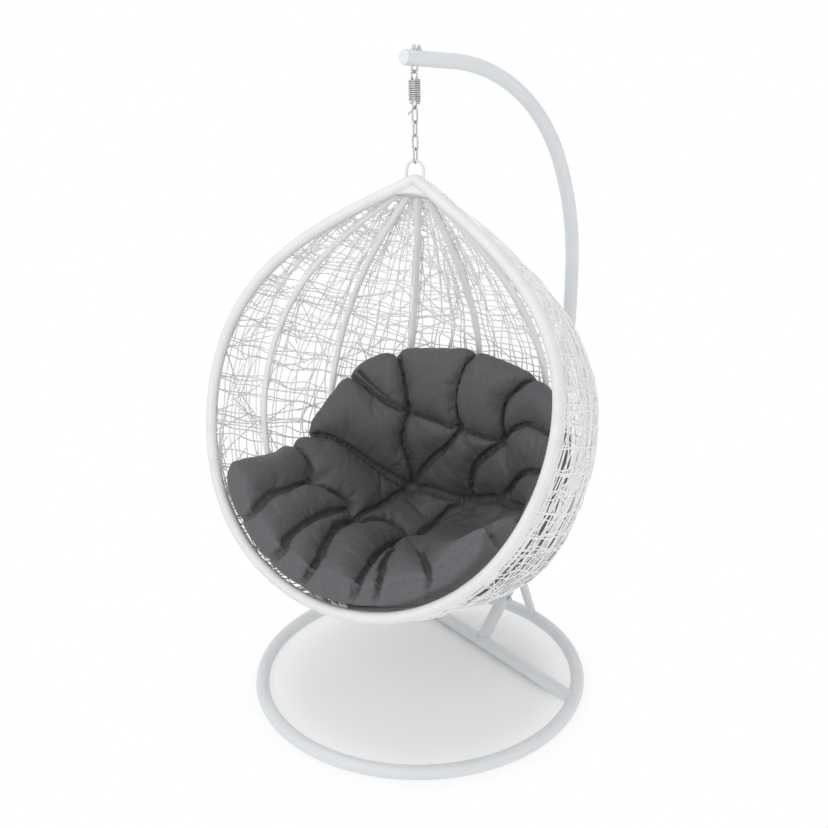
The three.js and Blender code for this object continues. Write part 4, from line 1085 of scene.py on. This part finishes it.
# Each crease: its depth in mm and its line of (share, angle) places
CREASES = [
    (48, [(0.53, -119), (0.64, -124), (0.82, -130), (0.97, -133), (1.04, -134)]),
    (34, [(0.53, -119), (0.74, -111), (0.9, -109), (1.04, -108)]),
    (18, [(0.62, -117), (0.7, -114), (0.85, -112), (0.98, -112)]),
    (48, [(0.26, 177), (0.38, 184), (0.59, 184), (0.87, 177), (1.04, 173)]),
    (48, [(0.42, 120), (0.49, 125), (0.65, 134), (0.78, 136), (1.04, 134)]),
    (38, [(0.42, 120), (0.59, 120), (0.75, 115), (0.9, 104), (1.04, 97)]),
    (28, [(0.53, -119), (0.4, -136), (0.26, -183)]),
    (34, [(0.26, 177), (0.31, 145), (0.42, 120)]),
    (38, [(0.53, -119), (0.47, -109), (0.42, -103), (0.36, -99), (0.3, -91), (0.28, -81)]),
    (26, [(0.26, -183), (0.19, -154), (0.23, -106), (0.27, -90), (0.28, -81)]),
    (36, [(0.42, 120), (0.19, 130), (0.08, 128), (0.05, 81), (0.02, 34)]),
    (50, [(0.28, -81), (0.37, -82), (0.5, -82), (0.65, -82), (0.83, -81), (1.04, -77)]),
    (34, [(0.28, -81), (0.2, -85), (0.11, -84), (0.02, 34)]),
    (38, [(0.28, -81), (0.33, -76), (0.35, -64), (0.41, -42)]),
    (38, [(0.7, -55), (0.8, -62), (0.89, -66), (1.04, -70)]),
    (34, [(0.7, -55), (0.61, -54), (0.46, -51), (0.41, -42)]),
    (38, [(0.41, -42), (0.34, -45), (0.25, -43), (0.22, -27)]),
    (38, [(0.02, 34), (0.07, -49), (0.11, -37), (0.22, -27)]),
    (44, [(0.02, 34), (0.14, 91), (0.28, 88), (0.6, 76), (1.04, 58)]),
    (26, [(0.3, 92), (0.6, 95), (1.04, 84)]),
    (24, [(0.7, -55), (0.76, -44), (0.85, -39), (0.94, -32), (1.04, -26)]),
    (34, [(0.45, -47), (0.62, -36), (0.76, -29), (0.87, -22), (0.92, -17), (1.04, -11)]),
    (48, [(0.41, -42), (0.59, -30), (0.75, -17), (0.89, -7), (1.04, 2)]),
    (46, [(0.22, -27), (0.41, -14), (0.66, -1), (0.89, 8), (1.04, 12)]),
    (30, [(0.39, -11), (0.64, 4), (0.89, 14), (1.04, 19)]),
    (28, [(0.44, 11), (0.7, 23), (0.93, 29), (1.04, 31)]),
    (22, [(0.7, 50), (0.92, 49), (1.04, 48)]),
]
print(len(CREASES), "creases and", len(BUTTONS), "buttons")

# %% How far they pull the cover in
MAP_RADIUS = 520.0
LOBE_REACH, LOBE_DEPTH, BUTTON_DEPTH = 16.0, 1.15, 64.0


def on_round_map(share, angle):
    angle = np.radians(angle)
    return MAP_RADIUS * np.stack([share * np.sin(angle), share * np.cos(angle)], axis=-1)


def curve_through(places, steps=6):
    """Close points on a smooth curve through places on the round map."""
    knots = on_round_map(np.array([p[0] for p in places]), np.array([p[1] for p in places]))
    knots = np.vstack([2 * knots[0] - knots[1], knots, 2 * knots[-1] - knots[-2]])
    found = []
    for p0, p1, p2, p3 in zip(knots, knots[1:], knots[2:], knots[3:]):
        for s in np.arange(steps) / steps:
            cubic = (2 * p0 - 5 * p1 + 4 * p2 - p3) * s**2 + (3 * p1 - p0 - 3 * p2 + p3) * s**3
            found.append((2 * p1 + (p2 - p0) * s + cubic) / 2)
    return np.array(found + [knots[-2]])


def distance_to(line, points):
    """Distance on the round map from each point to a line of close points."""
    best = np.full(points.shape[:-1], 1e9)
    for a, b in zip(line[:-1], line[1:]):
        way = b - a
        share = np.clip(((points - a) @ way) / (way @ way), 0, 1)
        best = np.minimum(best, np.linalg.norm(points - a - share[..., None] * way, axis=-1))
    return best


crease_lines = [(depth, curve_through(places)) for depth, places in CREASES]
button_places = [on_round_map(share, angle) for share, angle in BUTTONS]


def face_dip(places):
    """How far creases and buttons pull the face in, and the distance to the nearest."""
    summed, nearest = np.zeros(places.shape[:-1]), np.full(places.shape[:-1], 1e9)
    for depth, line in crease_lines:
        away = distance_to(line, places)
        over = np.clip(1 - away / (LOBE_REACH + depth), 0, 1)
        summed += (depth * LOBE_DEPTH * (1 - np.sqrt(1 - over**2))) ** 3
        nearest = np.minimum(nearest, away)
    for centre in button_places:
        away = np.linalg.norm(places - centre, axis=-1)
        summed += (BUTTON_DEPTH * np.exp(-away / 26)) ** 3
        nearest = np.minimum(nearest, away)
    return np.cbrt(summed), nearest


notch_table = face_dip(on_round_map(np.ones(361), turn_places))[0] / 50
edge_table = edge_table * (1.004 - 0.026 * notch_table)


def edge_angle(round_degrees):
    return np.interp((round_degrees + 180) % 360 - 180, turn_places, edge_table)


print("edge", edge_table.min().round(), "to", edge_table.max().round(), "degrees from the axis")

# %% [markdown]
# The first mesh is a fan of rays. Its back lies on the ribs, its face stands off them
# by the filling's thickness, and the two meet in a round edge. Where the rim is in
# the way the cushion stays behind it, and inside the rim it rolls out over the mouth.
# Then the creases press the face in, each point along its own normal.

# %% The cushion's first form
CUSHION_RAYS, FACE_RINGS, BACK_RINGS = 300, 100, 24
FILLING, CROWN = 132.0, 26.0
OVERHANG, SWOLLEN_OVERHANG, ROLL = 6.0, 12.0, 22.0
EDGE_DIP = 0.3
rim_flat = rim_side[::4][:, [0, 2]]


def behind_rim(points, overhang):
    """Moves points back, out of the rim and to about the overhang in front of it."""
    near = points[:, 1] < 24
    flat = np.abs(points[near][:, [0, 2]]) * [1, -1]
    away = np.linalg.norm(flat[:, None] - rim_flat[None], axis=2).min(axis=1)
    reach = RIM_RADIUS + 2
    room = np.clip(1.7 * (away - reach), 0, overhang)
    beyond = np.maximum(-points[near, 1] - room, 0)
    rolled = -room - ROLL * np.tanh(beyond / ROLL) * room / overhang
    pushed = np.sqrt(np.maximum(reach**2 - away**2, 0))
    points[near, 1] = np.maximum(points[near, 1], np.where(away < reach, pushed, rolled))
    return points


def cushion_ring(share, round_degrees, face):
    directions = direction_of(np.radians(edge_angle(round_degrees)) * share, np.radians(round_degrees))
    fullness = math.sqrt(max(1 - share**4.5, 0))
    middle = FILLING / 2
    if face:
        depth = middle + (FILLING + CROWN * (1 - share**2) - middle) * fullness
        dips.append(np.full(len(round_degrees), EDGE_DIP + (1 - EDGE_DIP) * fullness))
    else:
        depth = middle * (1 - fullness)
        dips.append(np.full(len(round_degrees), EDGE_DIP * (1 - fullness)))
    return RAYS_FROM + directions * (wall_distance(directions) - depth)[:, None]


round_places = np.arange(CUSHION_RAYS) * 360 / CUSHION_RAYS
face_shares = 1 - (1 - np.arange(1, FACE_RINGS + 1) / FACE_RINGS) ** 1.15
back_shares = np.arange(BACK_RINGS - 1, 0, -1) / BACK_RINGS
dips = []
rings = [cushion_ring(0, np.zeros(1), True)]
rings += [cushion_ring(share, round_places, True) for share in face_shares]
rings += [cushion_ring(share, round_places, False) for share in back_shares]
rings.append(cushion_ring(0, np.zeros(1), False))
cushion_vertices = behind_rim(np.vstack(rings), OVERHANG)
cushion_faces = []
last, ring_count = len(cushion_vertices) - 1, FACE_RINGS + BACK_RINGS - 1
for k in range(CUSHION_RAYS):
    n = (k + 1) % CUSHION_RAYS
    cushion_faces.append((0, 1 + k, 1 + n))
    for a in range(1, 1 + (ring_count - 1) * CUSHION_RAYS, CUSHION_RAYS):
        b = a + CUSHION_RAYS
        cushion_faces.append((a + k, b + k, b + n, a + n))
    cushion_faces.append((last - CUSHION_RAYS + n, last - CUSHION_RAYS + k, last))


def on_cushion(points):
    """Share of the way to the edge, angle round it, and depth in front of the ribs."""
    offset = points - RAYS_FROM
    length = np.linalg.norm(offset, axis=1)
    directions = offset / length[:, None]
    away = np.degrees(np.arccos(np.clip(directions @ rays_axis, -1, 1)))
    turned = np.degrees(np.arctan2(directions[:, 0], -directions @ rays_up))
    return away / edge_angle(turned), turned, wall_distance(directions) - length


def vertex_values(mesh, kind):
    """The mesh's vertex places (co) or normals (normal) as rows."""
    found = np.empty(len(mesh.vertices) * 3)
    mesh.vertices.foreach_get(kind, found)
    return found.reshape(-1, 3)


first_form = bpy.data.meshes.new("first_form")
first_form.from_pydata(cushion_vertices.tolist(), [], cushion_faces)
first_share, first_turned, _ = on_cushion(cushion_vertices)
first_flat = on_round_map(first_share, first_turned)
pressed = face_dip(first_flat)[0] * np.concatenate(dips)
cushion_vertices = cushion_vertices - vertex_values(first_form, "normal") * pressed[:, None]
first_form.vertices.foreach_set("co", on_pod(cushion_vertices).ravel())
first_form.update()
print("first form pressed by up to", round(float(pressed.max())), "mm")

# %% [markdown]
# Then the form is stuffed. Its mesh is made anew with even squares, the creases,
# buttons and back are pinned, and a cloth simulation blows it up from inside. The
# lobes between the creases swell and the cloth beside them gathers. No point may
# move more than a cap, so the cushion stays in its room in the pod.

# %% Stuff the cushion
VOXEL, SWELL_CAP, PRESSURE, LAST_FRAME = 6.2 * MM, 26.0, 4.0, 20
blank = add_object("first_form", first_form)
remesh = blank.modifiers.new("even_squares", "REMESH")
remesh.mode, remesh.voxel_size = "VOXEL", VOXEL
graph = bpy.context.evaluated_depsgraph_get()
cushion_mesh = bpy.data.meshes.new_from_object(blank.evaluated_get(graph))
cushion_mesh.name = "tufted_cushion"
bpy.data.objects.remove(blank)
cushion = add_object("tufted_cushion", cushion_mesh)


def pod_places(mesh):
    """A mesh's vertices in the pod's own millimetres."""
    return (vertex_values(mesh, "co") - pod_move) @ pod_turn / MM


def search_tree(places, indices):
    """A tree that finds the nearest places and gives back their indices."""
    tree = KDTree(len(places))
    for place, index in zip(places, indices):
        tree.insert(place, index)
    tree.balance()
    return tree


known_places = search_tree(cushion_vertices, range(len(cushion_vertices)))


def map_places(points):
    """Places on the round map, from the nearest points of the first form."""
    found = np.empty((len(points), 2))
    for i, point in enumerate(points):
        near = known_places.find_n(point, 5)
        weights = np.array([1 / (distance + 0.5) ** 2 for _, _, distance in near])
        found[i] = weights @ first_flat[[index for _, index, _ in near]] / weights.sum()
    return found


start = pod_places(cushion_mesh)
_, _, depth = on_cushion(start)
start_flat = map_places(start)
_, nearest = face_dip(start_flat)
on_face = depth > FILLING / 2 * 0.8
pinned = np.where(on_face, np.exp(-((nearest / 5) ** 2)), np.clip(1.6 - depth / 32, 0, 1))
pins = cushion.vertex_groups.new(name="pins")
for level in range(1, 21):
    chosen = np.flatnonzero(np.round(pinned * 20) == level)
    pins.add(chosen.tolist(), level / 20, "REPLACE")
stuffing = cushion.modifiers.new("stuffing", "CLOTH")
cloth = stuffing.settings
cloth.quality = 5
cloth.mass = 0.25
cloth.tension_stiffness, cloth.compression_stiffness = 14, 8
cloth.shear_stiffness, cloth.bending_stiffness = 6, 0.3
cloth.use_pressure, cloth.uniform_pressure_force = True, PRESSURE
cloth.effector_weights.gravity = 0
cloth.vertex_group_mass = "pins"
cloth.shrink_min = -0.03
stuffing.collision_settings.use_collision = False
for number in range(1, LAST_FRAME + 1):
    bpy.context.scene.frame_set(number)
graph = bpy.context.evaluated_depsgraph_get()
swollen = cushion.evaluated_get(graph).to_mesh()
moved = pod_places(swollen) - start
cushion.evaluated_get(graph).to_mesh_clear()
cushion.modifiers.remove(stuffing)
bpy.context.scene.frame_set(1)
far = np.linalg.norm(moved, axis=1)
print("swelled by", round(float(np.percentile(far, 50)), 1), "to", round(float(far.max()), 1), "mm")
held = SWELL_CAP * np.tanh(far / SWELL_CAP) / np.maximum(far, 1e-6)
start = behind_rim(start + moved * held[:, None], SWOLLEN_OVERHANG)
cushion_mesh.vertices.foreach_set("co", on_pod(start).ravel())
cushion_mesh.update()

# %% [markdown]
# The swollen mesh is smoothed a little and divided once, so its squares are 3 mm.
# Now the sharp things are cut in: along each crease the cover is drawn into a narrow
# slit, and small gathers stand across it, deepest at the crease.

# %% Slits and gathers
SLIT_DEPTH, SLIT_REACH = 19.0, 5.5
GATHER_DEPTH, GATHER_REACH = 2.4, 30.0
carried = cushion_mesh.attributes.new("map_place", "FLOAT_VECTOR", "POINT")
carried.data.foreach_set("vector", np.column_stack([start_flat, nearest]).ravel())
smoothing = cushion.modifiers.new("evened", "SMOOTH")
smoothing.factor, smoothing.iterations = 0.5, 3
finer = cushion.modifiers.new("finer", "SUBSURF")
finer.levels = finer.render_levels = 1
graph = bpy.context.evaluated_depsgraph_get()
fine_mesh = bpy.data.meshes.new_from_object(cushion.evaluated_get(graph))
cushion.modifiers.clear()
cushion.data = fine_mesh
fine_mesh.name = "tufted_cushion"
fine = pod_places(fine_mesh)
_, _, depth = on_cushion(fine)
carried = np.empty(len(fine) * 3)
fine_mesh.attributes["map_place"].data.foreach_get("vector", carried)
carried = carried.reshape(-1, 3)
flat_places, nearest = carried[:, :2], carried[:, 2].copy()
close = nearest < 40
nearest[close] = face_dip(flat_places[close])[1]
normals = vertex_values(fine_mesh, "normal") @ pod_turn
facing_out = np.clip((depth - 20) / 40, 0, 1)
slit = SLIT_DEPTH * np.exp(-((nearest / SLIT_REACH) ** 2)) * facing_out
gathers = np.array([noise.noise(Vector((x * 0.055, y * 0.055, 4.0))) for x, y in flat_places])
gathers *= GATHER_DEPTH * np.exp(-nearest / GATHER_REACH) * facing_out
fine = behind_rim(fine + normals * (gathers - slit)[:, None], SWOLLEN_OVERHANG)
fine_mesh.vertices.foreach_set("co", on_pod(fine).ravel())
fine_mesh.update()
fine_mesh.shade_smooth()
fine_mesh.materials.clear()
fine_mesh.materials.append(CANVAS)
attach(cushion, "pod")
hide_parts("cushion")
print("cushion", len(fine_mesh.vertices), "vertices")

# %% [markdown]
# The cover closes with a seam along the front lobe. It is a pressed ridge of doubled
# cloth, 1.5 mm wide. Its line is drawn on the round map and laid on the finished face.

# %% Front seam
SEAM_LINE = [(0.88, -12), (0.89, 3), (0.89, 8), (0.91, 18)]
SEAM_LINE += [(0.93, 28), (0.94, 36), (0.97, 46), (0.98, 57)]
face_index = np.flatnonzero(depth > FILLING / 2 * 0.6)
flat_tree = search_tree([(*place, 0) for place in flat_places[face_index]], face_index)
surface = BVHTree.FromPolygons(fine.tolist(), [tuple(p.vertices) for p in fine_mesh.polygons])
seam_points = []
for target in curve_through(SEAM_LINE, steps=24):
    near = flat_tree.find_n((*target, 0), 6)
    seam_points.append(fine[[index for _, index, _ in near]].mean(axis=0))
seam_points = np.array(seam_points)
for _ in range(4):
    seam_points[1:-1] = (seam_points[:-2] + seam_points[1:-1] * 2 + seam_points[2:]) / 4
seam_points = np.array([surface.find_nearest(point)[0] for point in seam_points.tolist()])
seam_mesh = tube_mesh(on_pod(smooth_path(seam_points, 3)), 0.75 * MM, 6)
add_piece("front_seam", seam_mesh, CANVAS, "pod")
print("seam of", len(seam_points), "points")

# %% [markdown]
# ## Floor and light
#
# The chair stands on a plain white sweep under soft light, so the floor near it takes
# its shadow and fades to white further out. The world is white to the camera and in
# reflections, and a little darker as a light, which keeps the whites from clipping.

# %% Floor
FLOOR_SIZE, FADE_FROM, FADE_TO = 60.0, 0.36, 0.6
floor_data = bpy.data.meshes.new("studio_floor")
corners = [(x * FLOOR_SIZE, y * FLOOR_SIZE, 0) for x, y in [(-1, -1), (1, -1), (1, 1), (-1, 1)]]
floor_data.from_pydata(corners, [], [(0, 1, 2, 3)])
floor = add_object("studio_floor", floor_data)
floor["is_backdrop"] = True

SWEEP, tree, shader, place = new_material("white_paper_sweep")
set_colour(tree, shader, noise_of(tree, place, 400, 2), "#F4F4F4", "#F7F7F7")
shader.inputs["Roughness"].default_value = 0.9
shader.inputs["Specular IOR Level"].default_value = 0.1
ring_middle = (0, -CROSSBAR_FROM_CENTRE, 0)
away = add_node(tree, "ShaderNodeVectorMath", {0: place, 1: ring_middle}, operation="SUBTRACT")
reach = add_node(tree, "ShaderNodeVectorMath", {0: away.outputs[0]}, operation="LENGTH")
limits = {"Value": reach.outputs["Value"], "From Min": FADE_FROM, "From Max": FADE_TO}
fade = add_node(tree, "ShaderNodeMapRange", limits, interpolation_type="SMOOTHSTEP")
white = add_node(tree, "ShaderNodeEmission", {"Color": (1, 1, 1, 1), "Strength": 1.0})
shares = {0: fade.outputs["Result"], 1: shader.outputs["BSDF"], 2: white.outputs["Emission"]}
mixed = add_node(tree, "ShaderNodeMixShader", shares)
output = next(n for n in tree.nodes if n.type == "OUTPUT_MATERIAL")
tree.links.new(mixed.outputs[0], output.inputs["Surface"])
floor_data.materials.append(SWEEP)
print("floor fades to white from", FADE_FROM, "to", FADE_TO, "m")

# %% World and lamps
world = bpy.data.worlds.new("white_studio")
bpy.context.scene.world = world
world.use_nodes = True
tree = world.node_tree
tree.nodes.clear()
rays = add_node(tree, "ShaderNodeLightPath")
seen = rays.outputs["Is Camera Ray"]
for kind in ("Is Glossy Ray", "Is Transmission Ray"):
    either = {0: seen, 1: rays.outputs[kind]}
    seen = add_node(tree, "ShaderNodeMath", either, operation="MAXIMUM").outputs[0]
lighting, backdrop = (
    add_node(tree, "ShaderNodeBackground", {"Color": (1, 1, 1, 1), "Strength": strength}).outputs[0]
    for strength in (0.86, 1.0)
)
mixed = add_node(tree, "ShaderNodeMixShader", {0: seen, 1: lighting, 2: backdrop})
add_node(tree, "ShaderNodeOutputWorld", {"Surface": mixed.outputs[0]})

SOFTBOXES = [
    ("key_softbox", (1.6, -3.4, 2.9), (0, -0.2, 1.0), 1.8, 29),
    ("top_softbox", (-0.9, -1.3, 4.2), (0, -0.2, 0.8), 1.6, 13),
]
for name, place, aim, size, watts in SOFTBOXES:
    lamp = bpy.data.lights.new(name, "AREA")
    lamp.shape, lamp.size, lamp.energy = "DISK", size, watts
    made = add_object(name, lamp)
    made.location = place
    made.rotation_euler = (Vector(aim) - Vector(place)).to_track_quat("-Z", "Y").to_euler()
bpy.context.scene.view_settings.view_transform = "Standard"
print(len(SOFTBOXES), "lamps set")

# %% [markdown]
# ## Last checks
#
# The dressed chair's box is measured against the imported one's. The dressed chair has to fill
# the same box as the imported one, give or take what fabric may stand proud.

# %% Sizes and finish
low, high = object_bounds()
grown = [a - b for a, b in zip(list(cad_low) + list(high), list(low) + list(cad_high))]
print("grown by", [round(value * 1000, 1) for value in grown], "mm")
